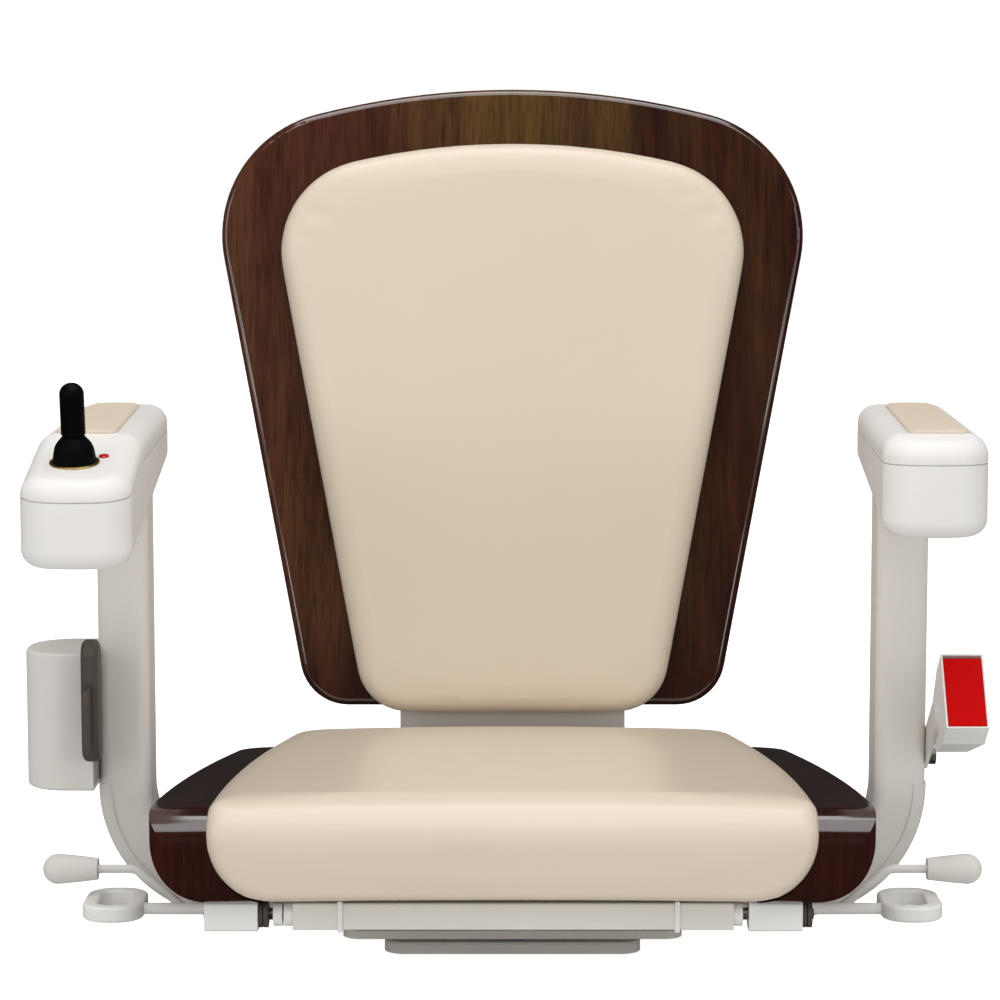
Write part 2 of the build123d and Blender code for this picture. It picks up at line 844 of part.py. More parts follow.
with BuildPart() as arm_trims:
    with BuildSketch(Plane.YZ.offset(trim_inner_x)):
        with Locations((arm_y, leg_z)):
            trim_section()
    extrude(amount=arm_bend_x - trim_inner_x)
    with BuildSketch(Plane.YZ.offset(arm_bend_x)):
        with Locations((arm_y, leg_z)):
            trim_section()
    revolve(axis=Axis((arm_bend_x, 0, arm_bend_z), (0, -1, 0)), revolution_arc=90)
    with BuildSketch(Plane(origin=(arm_x, arm_y, arm_bend_z), x_dir=(0, 1, 0), z_dir=(0, 0, 1))):
        trim_section()
    extrude(amount=trim_top - arm_bend_z)
    mirror(about=Plane.YZ)

# ==== Armrests ====
def rest_side(front, bottom, brow, roof, wall):
    # The armrest seen from the side, drawn in by a wall and, on top, by a roof
    sole_fall = (rest_tail - bottom) / (rest_rear - front)
    brow_drop = (rest_top - brow) / (rest_knee - front)
    nose = front - rest_bow
    with BuildLine() as outline:
        Polyline(
            (nose, bottom - rest_bow * sole_fall + wall),
            (nose, brow - rest_bow * brow_drop - roof),
            (rest_knee, rest_top - roof),
            (rest_rear - wall, rest_top - roof),
            (rest_rear - wall, rest_tail + wall * (1 - sole_fall)),
            close=True,
        )
    make_face(outline.edges())


def rest_plan(front, wall):
    # The armrest seen from above, drawn in by a wall: its front is slightly bowed
    reach = (rest_rear - front) / (rest_rear - right_front)
    inner = rest_inner_rear - (rest_inner_rear - rest_inner_front) * reach + wall
    outer = rest_outer_rear - (rest_outer_rear - rest_outer_front) * reach - wall
    with BuildLine() as outline:
        ThreePointArc(
            (inner, front + rest_bow + wall),
            ((inner + outer) / 2, front + wall),
            (outer, front + rest_bow + wall),
        )
        Line((outer, front + rest_bow + wall), (rest_outer_rear - wall, rest_rear - wall))
        Line((rest_outer_rear - wall, rest_rear - wall), (rest_inner_rear + wall, rest_rear - wall))
        Line((rest_inner_rear + wall, rest_rear - wall), (inner, front + rest_bow + wall))
    make_face(outline.edges())
    fillet(vertices().group_by(Axis.Y)[0], rest_front_corner - wall)
    fillet(vertices().group_by(Axis.Y)[-1], rest_rear_corner - wall)


def rest_solid(front, bottom, brow, roof=0.0, wall=0.0):
    # The armrest's whole body, or the space inside its walls
    with BuildPart() as body:
        with BuildSketch(Plane.YZ.offset(rest_inner_front - 20)):
            rest_side(front, bottom, brow, roof, wall)
        extrude(amount=rest_outer_rear - rest_inner_front + 40)
        with BuildSketch(Plane.XY.offset(bottom - 10)):
            rest_plan(front, wall)
        extrude(amount=rest_top - bottom + 20, mode=Mode.INTERSECT)
    return body


def rest_zone(front, seam_front, low, high):
    # The space above the seam between shell and cap, from one height over it to another
    with BuildPart() as zone:
        with BuildSketch(Plane.YZ.offset(rest_inner_front - 20)):
            with BuildLine() as outline:
                Polyline(
                    (front - 10, seam_front + low),
                    (rest_knee, rest_seam + low),
                    (rest_rear + 10, rest_seam + low),
                    (rest_rear + 10, rest_seam + high),
                    (rest_knee, rest_seam + high),
                    (front - 10, seam_front + high),
                    close=True,
                )
            make_face(outline.edges())
        extrude(amount=rest_outer_rear - rest_inner_front + 40)
    return zone


def rest_halves(front, bottom, brow, seam_front):
    # Lower shell and upper cap of an armrest, drawn on the right-hand side
    outer = rest_solid(front, bottom, brow)
    space = rest_solid(front, bottom, brow, rest_roof, rest_wall)
    core = rest_solid(front, bottom, brow, rest_seam_deep, rest_seam_deep)
    lid_zone = rest_zone(front, seam_front, 0.0, 60.0)
    with BuildPart() as rounded:
        add(outer.part)
        tops = [face for face in rounded.faces() if face.normal_at().Z > 0.9]
        fillet([edge for face in tops for edge in face.edges()], rest_edge)
        sole = min(rounded.faces(), key=lambda face: face.normal_at().Z)
        fillet(sole.edges(), rest_sole_edge)
    with BuildPart() as groove:
        add(rest_zone(front, seam_front, 0.0, rest_seam_gap).part)
        add(core.part, mode=Mode.SUBTRACT)
    with BuildPart() as cap:
        add(rounded.part)
        add(lid_zone.part, mode=Mode.INTERSECT)
        add(space.part, mode=Mode.SUBTRACT)
        add(groove.part, mode=Mode.SUBTRACT)
        # rib that rests on the post's head
        with BuildSketch(Plane.XY.offset(head_top)):
            with Locations((arm_x, arm_y)):
                Rectangle(head_wide - 6, arm_deep - 20)
        extrude(amount=rest_top - rest_roof - head_top)
        # recess for the arm pad
        with BuildSketch(Plane.XY.offset(rest_top - pad_sunk)):
            pad_outline(soft_gap)
        extrude(amount=2 * pad_sunk, mode=Mode.SUBTRACT)
    with BuildPart() as shell:
        add(rounded.part)
        add(lid_zone.part, mode=Mode.SUBTRACT)
        add(space.part, mode=Mode.SUBTRACT)
        # opening in the underside for the post, which also clears it when the armrest is up
        with BuildSketch(Plane.XY.offset(bottom - 10)):
            opening_front = arm_front_y - 3.0
            with Locations((arm_x, (opening_front + sole_opening_rear) / 2)):
                Rectangle(arm_thick + 5.0, sole_opening_rear - opening_front)
        extrude(amount=pivot_z - bottom + 10, mode=Mode.SUBTRACT)
        # ears that hold the pivot pin, one each side of the head
        ear_inner = head_wide / 2 + 0.5
        for side in (-1, 1):
            with BuildSketch(Plane.YZ.offset(arm_x + side * ear_inner)):
                with Locations((pivot_y, pivot_z)):
                    Circle(ear_radius)
                with Locations((pivot_y, (rest_seam + pivot_z) / 2)):
                    Rectangle(2 * ear_radius, rest_seam - pivot_z)
            extrude(amount=side * ear_thick)
        # a rib that ties the outer ear to the outer wall
        rib_start = arm_x + ear_inner + ear_thick
        with BuildSketch(Plane.YZ.offset(rib_start)):
            with Locations((pivot_y, (rest_seam + pivot_z) / 2)):
                Rectangle(ear_thick, rest_seam - pivot_z)
        extrude(amount=rest_outer_rear - rib_start - rest_wall / 2 - 2.0)
        with BuildSketch(Plane.YZ.offset(arm_x)):
            with Locations((pivot_y, pivot_z)):
                Circle(pivot_pin + running_gap)
        extrude(amount=ear_inner + ear_thick, both=True, mode=Mode.SUBTRACT)
    return shell, cap


def pad_outline(margin):
    with BuildLine() as outline:
        Polyline(
            (pad_front_inner - margin, rest_knee - margin),
            (pad_front_outer + margin, rest_knee - margin),
            (pad_rear_outer + margin, pad_rear_y + margin),
            (pad_rear_inner - margin, pad_rear_y + margin),
            close=True,
        )
    make_face(outline.edges())
    fillet(vertices().group_by(Axis.Y)[0], pad_corner / 2 + margin)
    fillet(vertices().group_by(Axis.Y)[-1], pad_corner + margin)


armrest_shell_right, armrest_cap_right = rest_halves(
    right_front, right_bottom, right_brow, right_seam_front
)
left_shell, left_cap = rest_halves(left_front, left_bottom, left_brow, left_seam_front)

with BuildPart() as armrest_pad_right:
    with BuildSketch(Plane.XY.offset(rest_top - pad_sunk + soft_gap)):
        pad_outline(0)
    extrude(amount=pad_sunk - soft_gap + pad_proud)
    fillet(armrest_pad_right.faces().sort_by(Axis.Z)[-1].edges(), pad_edge)

with BuildPart() as armrest_pad_left:
    mirror(armrest_pad_right.part, about=Plane.YZ)

# ==== Joystick ====
# The left armrest's top falls away to the front from the knee, and the joystick stands square to it
brow_fall = atan2(rest_top - left_brow, rest_knee - left_front)
stick_z = rest_top - (rest_knee - stick_y) * tan(brow_fall)
stick_plane = Plane(
    origin=(stick_x, stick_y, stick_z), x_dir=(1, 0, 0), z_dir=(0, -sin(brow_fall), cos(brow_fall))
)
lamp_plane = Plane(
    origin=(lamp_x, lamp_y, rest_top - (rest_knee - lamp_y) * tan(brow_fall)),
    x_dir=(1, 0, 0),
    z_dir=stick_plane.z_dir,
)
stick_axis = Axis(stick_plane.origin, stick_plane.z_dir)
cap_roof = rest_roof * cos(brow_fall)

with BuildPart() as armrest_cap_left:
    mirror(left_cap.part, about=Plane.YZ)
    with BuildSketch(stick_plane.offset(-2 * rest_roof)):
        Circle(stick_hole)
    extrude(amount=3 * rest_roof, mode=Mode.SUBTRACT)
    with BuildSketch(lamp_plane.offset(-2 * rest_roof)):
        Circle(lamp_radius)
    extrude(amount=3 * rest_roof, mode=Mode.SUBTRACT)

board_x = -(rest_inner_front + rest_outer_front) / 2
board_y = rest_knee
left_fall = (rest_tail - left_bottom) / (rest_rear - left_front)


def left_floor(y):
    # Height of the left armrest's floor, on its inner side
    return left_bottom + (y - left_front) * left_fall + rest_wall


pillar_step = (board_long - 10) / 2
board_seat = left_floor(board_y + board_long / 2) + fit_gap
with BuildPart() as armrest_shell_left:
    mirror(left_shell.part, about=Plane.YZ)
    # four pillars for the control board, which stands level over the rising floor
    for row in (board_y - pillar_step, board_y + pillar_step):
        pillar_low = left_floor(row) - rest_wall / 2
        with BuildSketch(Plane.XY.offset(pillar_low)):
            with Locations((board_x, row)):
                with GridLocations(board_wide - 10, 0, 2, 1):
                    Circle(board_pillar)
        extrude(amount=board_seat - pillar_low)

with BuildPart() as control_board:
    with BuildSketch(Plane.XY.offset(board_seat)):
        with Locations((board_x, board_y)):
            Rectangle(board_wide, board_long)
    extrude(amount=board_thick)
    with BuildSketch(Plane.XY.offset(board_seat + board_thick)):
        with Locations((board_x, board_y)):
            with GridLocations(board_wide / 2, board_long / 2, 2, 2):
                Rectangle(board_wide / 4, board_long / 4)
    extrude(amount=board_chip_high)

with BuildPart() as joystick_ring:
    with BuildSketch(stick_plane):
        Circle(stick_ring)
    extrude(amount=stick_ring_high)
    fillet(joystick_ring.faces().sort_by(stick_axis)[-1].edges(), 0.8)
    with BuildSketch(stick_plane):
        Circle(stick_hole - running_gap)
    extrude(amount=-cap_roof / 2)
    with BuildSketch(stick_plane.offset(-cap_roof / 2)):
        Circle(stick_ring_bore)
    extrude(amount=cap_roof, mode=Mode.SUBTRACT)

with BuildPart() as joystick_gimbal:
    with BuildSketch(stick_plane.offset(-cap_roof)):
        Circle(gimbal_flange)
        Circle(gimbal_window, mode=Mode.SUBTRACT)
    extrude(amount=-gimbal_thick)
    for side in (-1, 1):
        ear_mid = side * (stick_eye_long / 2 + 0.5 + gimbal_ear / 2)
        with BuildSketch(stick_plane.offset(-cap_roof)):
            with Locations((0, ear_mid)):
                Rectangle(2 * stick_eye, gimbal_ear)
        extrude(amount=-(stick_pivot_deep + stick_eye - cap_roof))
    pin_plane = Plane(
        origin=stick_plane.from_local_coords((0, 0, -stick_pivot_deep)),
        x_dir=(1, 0, 0),
        z_dir=stick_plane.y_dir,
    )
    with BuildSketch(pin_plane):
        Circle(stick_pin)
    extrude(amount=stick_eye_long / 2 + 0.5 + gimbal_ear, both=True)

with BuildPart() as joystick_handle:
    with BuildSketch(stick_plane.offset(stick_grip_low)):
        Circle(stick_grip)
    extrude(amount=stick_top - stick_grip_low)
    fillet(joystick_handle.faces().sort_by(stick_axis)[-1].edges(), stick_grip - 0.6)
    with BuildSketch(stick_plane.offset(stick_grip_low)):
        Circle(stick_rod)
    extrude(amount=-(stick_grip_low + stick_pivot_deep))
    with BuildSketch(pin_plane):
        Circle(stick_eye)
    extrude(amount=stick_eye_long / 2, both=True)
    with BuildSketch(pin_plane):
        Circle(stick_pin + running_gap)
    extrude(amount=stick_eye_long, both=True, mode=Mode.SUBTRACT)

with BuildPart() as joystick_boot:
    # a thin rubber bell: round shoulders that draw in to a neck under the grip
    boot_side = Plane(origin=stick_plane.origin, x_dir=(1, 0, 0), z_dir=-stick_plane.y_dir)
    boot_foot = stick_ring_bore - 0.2
    boot_top = stick_grip_low - fit_gap
    with BuildSketch(boot_side):
        with BuildLine():
            Line((boot_foot, -cap_roof), (boot_foot, 1.0))
            Spline(
                (boot_foot, 1.0),
                (boot_foot * 0.955, boot_top * 0.35),
                (boot_foot * 0.82, boot_top * 0.66),
                (boot_foot * 0.60, boot_top * 0.86),
                (boot_neck, boot_top),
            )
            Line((boot_neck, boot_top), (boot_bore, boot_top))
            Polyline(
                (boot_bore, boot_top),
                (boot_bore, boot_top * 0.82),
                (boot_foot * 0.72 - boot_skin, boot_top * 0.62),
                (boot_foot * 0.93 - boot_skin, boot_top * 0.25),
                (boot_foot - boot_skin, -cap_roof),
            )
            Line((boot_foot - boot_skin, -cap_roof), (boot_foot, -cap_roof))
        make_face()
    revolve(axis=stick_axis)

with BuildPart() as status_lamp:
    with BuildSketch(lamp_plane.offset(-cap_roof)):
        Circle(lamp_radius)
    extrude(amount=cap_roof + 1.2)
    fillet(status_lamp.faces().sort_by(stick_axis)[-1].edges(), 1.0)

# ==== Belt retractor ====
post_outer_x = -arm_outer_x
reel_mid_y = (reel_front + reel_rear) / 2
reel_mid_x = (reel_outer_x + post_outer_x) / 2
web_x = spool_x + spool_flange - 1.0 + belt_thick / 2 + roll_gap
roll_radius = web_x - belt_thick / 2 - roll_gap - spool_x
belt_low = belt_mid_z - belt_wide / 2
belt_high = belt_mid_z + belt_wide / 2


def reel_face(wall):
    # The housing seen from above: well rounded at its two outer corners
    with Locations((reel_mid_x, reel_mid_y)):
        face = Rectangle(post_outer_x - reel_outer_x - 2 * wall, reel_rear - reel_front - 2 * wall)
    fillet(face.vertices().group_by(Axis.X)[0], reel_corner - wall)


with BuildPart() as retractor_housing:
    with BuildSketch(Plane.XY.offset(reel_low)):
        reel_face(0)
    extrude(amount=reel_high - reel_low)
    rims = [edge for face in retractor_housing.faces().filter_by(Axis.Z) for edge in face.edges()]
    fillet([edge for edge in rims if edge.center().X < post_outer_x - 1.0], reel_edge)
    with BuildSketch(Plane.XY.offset(reel_low + reel_wall)):
        reel_face(reel_wall)
        with Locations((post_outer_x - reel_wall, reel_mid_y)):
            Rectangle(3 * reel_wall, reel_rear - reel_front - 2 * reel_wall)
    extrude(amount=reel_high - reel_low - 2 * reel_wall, mode=Mode.SUBTRACT)
    with BuildSketch(Plane.XZ.offset(-reel_front - reel_wall)):
        with Locations((web_x, belt_mid_z)):
            Rectangle(2 * belt_thick, belt_wide + 4)
    extrude(amount=2 * reel_wall, mode=Mode.SUBTRACT)

spool_low = belt_low - 3.0 - spool_flange_thick
spool_high = belt_high + 3.0 + spool_flange_thick
lower_ear = spool_low - 1.0 - reel_ear
upper_ear = spool_high + 1.0
with BuildPart() as retractor_plate:
    plate_high = reel_high - reel_low - 2 * reel_wall - 2 * fit_gap
    with BuildSketch(Plane.YZ.offset(post_outer_x - reel_plate)):
        with Locations((reel_mid_y, (reel_high + reel_low) / 2)):
            Rectangle(reel_rear - reel_front - 2 * reel_wall - 2 * fit_gap, plate_high)
        for row in reel_screw_rows:
            with Locations((reel_screw_y, row)):
                Circle(screw_radius, mode=Mode.SUBTRACT)
    extrude(amount=reel_plate)
    for low in (lower_ear, upper_ear):
        with BuildSketch(Plane.XY.offset(low)):
            with Locations(((spool_x - 8 + post_outer_x - reel_plate) / 2, spool_y)):
                Rectangle(post_outer_x - reel_plate - spool_x + 8, 2 * spool_core)
        extrude(amount=reel_ear)
    with BuildSketch(Plane.XY.offset(lower_ear)):
        with Locations((spool_x, spool_y)):
            Circle(spool_shaft)
    extrude(amount=upper_ear + reel_ear - lower_ear)

with BuildPart() as spring_case:
    with BuildSketch(Plane.XY.offset(lower_ear - spring_case_high)):
        with Locations((spool_x, spool_y)):
            Circle(spool_flange - 2.0)
    extrude(amount=spring_case_high)

with BuildPart() as belt_spool:
    for low, high, radius in (
        (spool_low, spool_low + spool_flange_thick, spool_flange),
        (spool_low + spool_flange_thick, belt_low, spool_core),
        (belt_low, belt_high, roll_radius),
        (belt_high, spool_high - spool_flange_thick, spool_core),
        (spool_high - spool_flange_thick, spool_high, spool_flange - 1.0),
    ):
        with BuildSketch(Plane.XY.offset(low)):
            with Locations((spool_x, spool_y)):
                Circle(min(radius, spool_flange - 1.0))
                Circle(spool_shaft + running_gap, mode=Mode.SUBTRACT)
        extrude(amount=high - low)

with BuildPart() as belt_leader:
    leader_front = reel_front - fit_gap - 6.0
    leader_rear = reel_rear - 2 * reel_wall
    with BuildSketch(Plane.XY.offset(belt_low)):
        with Locations((web_x, (leader_front + leader_rear) / 2)):
            Rectangle(belt_thick, leader_rear - leader_front)
    extrude(amount=belt_wide)

handle_rear = reel_front - fit_gap
handle_x = web_x + 5.0
blade_x = web_x + 5.5
with BuildPart() as belt_handle:
    with BuildSketch(Plane.YZ.offset(handle_x - grip_wide / 2)):
        with Locations((handle_rear - grip_deep / 2, (grip_low + grip_high) / 2)):
            RectangleRounded(grip_deep, grip_high - grip_low, grip_deep / 2 - 0.5)
    extrude(amount=grip_wide)
    fillet(belt_handle.faces().filter_by(Axis.X).edges(), 4)
    with BuildSketch(Plane.XY.offset(belt_low)):
        with Locations((web_x, (leader_front + handle_rear) / 2)):
            Rectangle(belt_thick, handle_rear - leader_front)
    extrude(amount=belt_wide, mode=Mode.SUBTRACT)
    with BuildSketch(Plane.YZ.offset(blade_x - blade_thick / 2)):
        with Locations((handle_rear - grip_deep + blade_seat / 2, belt_mid_z)):
            Rectangle(blade_seat, blade_high)
    extrude(amount=blade_thick, mode=Mode.SUBTRACT)

with BuildPart() as belt_tongue:
    with BuildSketch(Plane.YZ.offset(blade_x - blade_thick / 2)):
        with Locations((handle_rear - grip_deep + (blade_seat - blade_reach) / 2, belt_mid_z)):
            Rectangle(blade_reach + blade_seat, blade_high)
            with Locations((-blade_reach / 4, 0)):
                Rectangle(blade_reach / 3, blade_high / 2, mode=Mode.SUBTRACT)
    extrude(amount=blade_thick)
    fillet(belt_tongue.edges().filter_by(Axis.X).group_by(Axis.Y)[0], 5)

# ==== Buckle ====
pitch = radians(buckle_pitch)
buckle_plane = Plane(
    origin=(buckle_x, buckle_y, buckle_z), x_dir=(1, 0, 0), z_dir=(0, -cos(pitch), sin(pitch))
)
buckle_axis = Axis(buckle_plane.origin, buckle_plane.z_dir)
tail_shift = buckle_tail_wide - buckle_half_wide
with BuildPart() as buckle_housing:
    with BuildSketch(buckle_plane):
        Rectangle(2 * buckle_half_wide, 2 * buckle_half_tall)
    extrude(amount=-buckle_straight)
    with BuildSketch(buckle_plane.offset(-buckle_straight)):
        Rectangle(2 * buckle_half_wide, 2 * buckle_half_tall)
    with BuildSketch(buckle_plane.offset(-buckle_long)):
        with Locations((tail_shift, 0)):
            Rectangle(2 * buckle_tail_wide, 2 * buckle_tail_tall)
    loft(ruled=True)
    with BuildSketch(buckle_plane):
        Rectangle(2 * (buckle_half_wide - buckle_rim), 2 * (buckle_half_tall - buckle_rim))
    extrude(amount=-buckle_cavity, mode=Mode.SUBTRACT)

with BuildPart() as buckle_button:
    button_wide = 2 * (buckle_half_wide - buckle_rim - button_gap)
    button_tall = 2 * (buckle_half_tall - buckle_rim) - tongue_slot - button_gap
    with BuildSketch(buckle_plane.offset(button_proud - button_long)):
        with Locations((0, -tongue_slot / 2)):
            Rectangle(button_wide, button_tall)
    extrude(amount=button_long)
    fillet(buckle_button.faces().sort_by(buckle_axis)[-1].edges(), 0.6)

button_back = button_proud - button_long
buckle_spring = coil(
    buckle_plane.offset(-buckle_cavity), 6.0, 0.6, buckle_cavity + button_back, 2
)

with BuildPart() as buckle_anchor:
    tail_y = buckle_y + (buckle_long - 14) * cos(pitch)
    tail_z = buckle_z - (buckle_long - 14) * sin(pitch)
    with BuildSketch(Plane.YZ.offset(arm_outer_x)):
        with BuildLine():
            Line((anchor_y, anchor_z), (tail_y, tail_z))
        strap_turn = degrees(atan2(tail_z - anchor_z, tail_y - anchor_y))
        with Locations(Location(((anchor_y + tail_y) / 2, (anchor_z + tail_z) / 2, 0), strap_turn)):
            strap_long = ((tail_y - anchor_y) ** 2 + (tail_z - anchor_z) ** 2) ** 0.5
            SlotCenterToCenter(strap_long, 2 * anchor_radius)
        with Locations((anchor_y, anchor_z)):
            Circle(bolt_radius, mode=Mode.SUBTRACT)
    extrude(amount=anchor_thick)

# ==== Seat ====
view_high = 400.0
view_far = 300.0
view_half = 220.0
view_ease = 0.06
crown_drop = 4.0


def seat_plan(half_front, half_waist, half_rear, front, rear, front_corner, rear_corner, wall=0.0):
    # Seat or cushion seen from above: bowed sides that draw in towards the back
    with BuildLine() as outline:
        for side in (-1, 1):
            Line((side * (half_front - wall), front + wall), (side * (half_front - wall), seat_arc_front))
            ThreePointArc(
                (side * (half_front - wall), seat_arc_front),
                (side * (half_waist - wall), seat_arc_waist),
                (side * (half_rear - wall), rear - wall),
            )
        Line((wall - half_front, front + wall), (half_front - wall, front + wall))
        Line((wall - half_rear, rear - wall), (half_rear - wall, rear - wall))
    make_face(outline.edges())
    fillet(vertices().group_by(Axis.Y)[0], front_corner)
    fillet(vertices().group_by(Axis.Y)[-1], rear_corner)


def seat_side(front, rear, top_front, top_rear, bottom, roll, under_roll):
    # Seat or cushion seen from the side: a top that falls to the back, and a rolled front
    with BuildLine() as outline:
        Polyline((front, bottom), (front, top_front), (rear, top_rear), (rear, bottom), close=True)
    make_face(outline.edges())
    fillet(vertices().group_by(Axis.X)[0].sort_by(Axis.Y)[-1], roll)
    if under_roll:
        fillet(vertices().group_by(Axis.X)[0].sort_by(Axis.Y)[0], under_roll)


def front_view(half, bottom, roll, top):
    # Seat or cushion seen from the front: its lower corners rolled under
    reach = half + view_ease
    with BuildLine() as outline:
        Polyline((-reach, bottom), (reach, bottom), (reach, top), (-reach, top), close=True)
    make_face(outline.edges())
    fillet(vertices().group_by(Axis.Y)[0], roll)


fall = (seat_top_front - seat_top_rear) / (seat_rear - seat_front)

with BuildPart() as trough_core:
    # what stays of the shell under the cushion
    with BuildSketch(Plane.YZ.offset(-view_far)):
        core_front = seat_front + trough_deep
        seat_side(
            core_front,
            seat_rear,
            seat_top_front - trough_deep,
            seat_top_rear - trough_deep_rear,
            seat_bottom - 20,
            seat_roll / 2,
            0,
        )
    extrude(amount=2 * view_far)

with BuildPart() as trough:
    with BuildSketch(Plane.XY.offset(seat_bottom - 10)):
        seat_plan(
            cushion_half_front + soft_gap,
            cushion_half_waist + soft_gap,
            cushion_half_rear + soft_gap,
            cushion_front - 20,
            cushion_rear + soft_gap,
            1.0,
            cushion_rear_corner,
        )
    extrude(amount=view_far)
    with BuildSketch(Plane.XZ.offset(view_far)):
        front_view(cushion_half_front + soft_gap, seat_bottom - soft_gap, seat_side_roll, view_high)
    extrude(amount=-2 * view_far, mode=Mode.INTERSECT)
    add(trough_core.part, mode=Mode.SUBTRACT)

hollow_front = core_front + trough_skin
hollow_top_front = seat_top_front - trough_deep - trough_skin
hollow_top_rear = seat_top_rear - trough_deep_rear - trough_skin_rear
with BuildPart() as seat_hollow:
    with BuildSketch(Plane.YZ.offset(-view_far)):
        seat_side(
            hollow_front,
            seat_rear - seat_wall,
            hollow_top_front,
            hollow_top_rear,
            seat_bottom - 10,
            5.0,
            0,
        )
    extrude(amount=2 * view_far)
    with BuildSketch(Plane.XY.offset(seat_bottom - 10)):
        seat_plan(
            seat_half_front - 14,
            seat_half_waist - 14,
            seat_half_rear - 14,
            hollow_front,
            seat_rear - seat_wall,
            8.0,
            20.0,
        )
    extrude(amount=view_far, mode=Mode.INTERSECT)
    with BuildSketch(Plane.XZ.offset(view_far)):
        front_view(seat_half_front - 14, seat_bottom - 30, seat_side_roll, view_high)
    extrude(amount=-2 * view_far, mode=Mode.INTERSECT)

with BuildPart() as seat_shell:
    with BuildSketch(Plane.YZ.offset(-view_far)):
        seat_side(
            seat_front, seat_rear, seat_top_front, seat_top_rear, seat_bottom, seat_roll, seat_under_roll
        )
    extrude(amount=2 * view_far)
    with BuildSketch(Plane.XY.offset(seat_bottom - 10)):
        seat_plan(
            seat_half_front,
            seat_half_waist,
            seat_half_rear,
            seat_front,
            seat_rear,
            seat_front_corner,
            seat_rear_corner,
        )
    extrude(amount=view_far, mode=Mode.INTERSECT)
    with BuildSketch(Plane.XZ.offset(view_far)):
        front_view(seat_half_front, seat_bottom, seat_side_roll, view_high)
    extrude(amount=-2 * view_far, mode=Mode.INTERSECT)
    add(trough.part, mode=Mode.SUBTRACT)
    add(seat_hollow.part, mode=Mode.SUBTRACT)
    # pillars that the board is screwed to
    pillar_foot = board_low + seat_board_thick
    for row in pillar_rows:
        share = (row - hollow_front) / (seat_rear - seat_wall - hollow_front)
        roof_z = hollow_top_front + (hollow_top_rear - hollow_top_front) * share + 2.0
        with BuildSketch(Plane.XY.offset(pillar_foot)):
            with Locations((pillar_x, row), (-pillar_x, row)):
                Circle(pillar_radius)
        extrude(amount=roof_z - pillar_foot)

with BuildPart() as seat_board:
    with BuildSketch(Plane.XY.offset(board_low)):
        seat_plan(
            seat_half_front - 26 - fit_gap,
            seat_half_waist - 22 - fit_gap,
            seat_half_rear - 16 - fit_gap,
            hollow_front + fit_gap,
            board_rear,
            8.0,
            4.0,
        )
        for row in pillar_rows:
            with Locations((pillar_x, row), (-pillar_x, row)):
                Circle(screw_radius, mode=Mode.SUBTRACT)
    extrude(amount=seat_board_thick)

screw_planes = [
    Plane(origin=(side * pillar_x, row, board_low), x_dir=(1, 0, 0), z_dir=(0, 0, -1))
    for side in (-1, 1)
    for row in pillar_rows
]
seat_screws = bolts(screw_planes, screw_radius, screw_head, screw_head_high, seat_board_thick)

with BuildPart() as seat_bumpers:
    plate_mid = plate_inner + plate_thick / 2
    with BuildSketch(Plane.XY.offset(plate_top)):
        for row in bumper_rows:
            with Locations((plate_mid, row), (-plate_mid, row)):
                Circle(bumper_radius)
    extrude(amount=board_low - plate_top)

with BuildPart() as seat_hinges:
    for side in (-1, 1):
        with BuildSketch(Plane.YZ.offset(side * ear_start_x)):
            with Locations((hinge_y, hinge_z)):
                Circle(hinge_lug)
            with Locations(((board_rear + hinge_y) / 2, hinge_z)):
                Rectangle(hinge_y - board_rear, 2 * hinge_lug)
            with Locations((hinge_y, hinge_z)):
                Circle(hinge_pin + running_gap, mode=Mode.SUBTRACT)
        extrude(amount=side * ear_wide)
        leaf_outer = ear_start_x + ear_wide
        with BuildSketch(Plane.XY.offset(board_low + seat_board_thick)):
            with Locations((side * (hinge_leaf_inner + leaf_outer) / 2, (hinge_leaf_front + board_rear + 4) / 2)):
                Rectangle(leaf_outer - hinge_leaf_inner, board_rear + 4 - hinge_leaf_front)
        extrude(amount=hinge_leaf_thick)

with BuildPart() as pivot_pins:
    # for each side the armrest's pin, then the seat hinge's and the lever's, which have flat heads
    for side in (-1, 1):
        with BuildSketch(Plane.YZ.offset(side * (arm_x - head_wide / 2 - ear_thick))):
            with Locations((pivot_y, pivot_z)):
                Circle(pivot_pin)
        extrude(amount=side * (head_wide + 2 * ear_thick))
        with BuildSketch(Plane.YZ.offset(side * (ear_start_x - 2))):
            with Locations((hinge_y, hinge_z)):
                Circle(hinge_pin)
        extrude(amount=side * (plate_outer - ear_start_x + 2))
        with BuildSketch(Plane.YZ.offset(side * plate_outer)):
            with Locations((hinge_y, hinge_z)):
                Circle(hinge_pin + 3)
        extrude(amount=side * 2.5)
        lever_pin_rear = lever_y + lever_boss_long / 2 + 1 + saddle_thick
        with BuildSketch(Plane.XZ.offset(-lever_pin_rear)):
            with Locations((side * lever_pivot_x, lever_z)):
                Circle(lever_pin)
        extrude(amount=lever_boss_long + 2 + 2 * saddle_thick)
        with BuildSketch(Plane.XZ.offset(-lever_pin_rear - 2)):
            with Locations((side * lever_pivot_x, lever_z)):
                Circle(lever_pin + 2)
        extrude(amount=2)

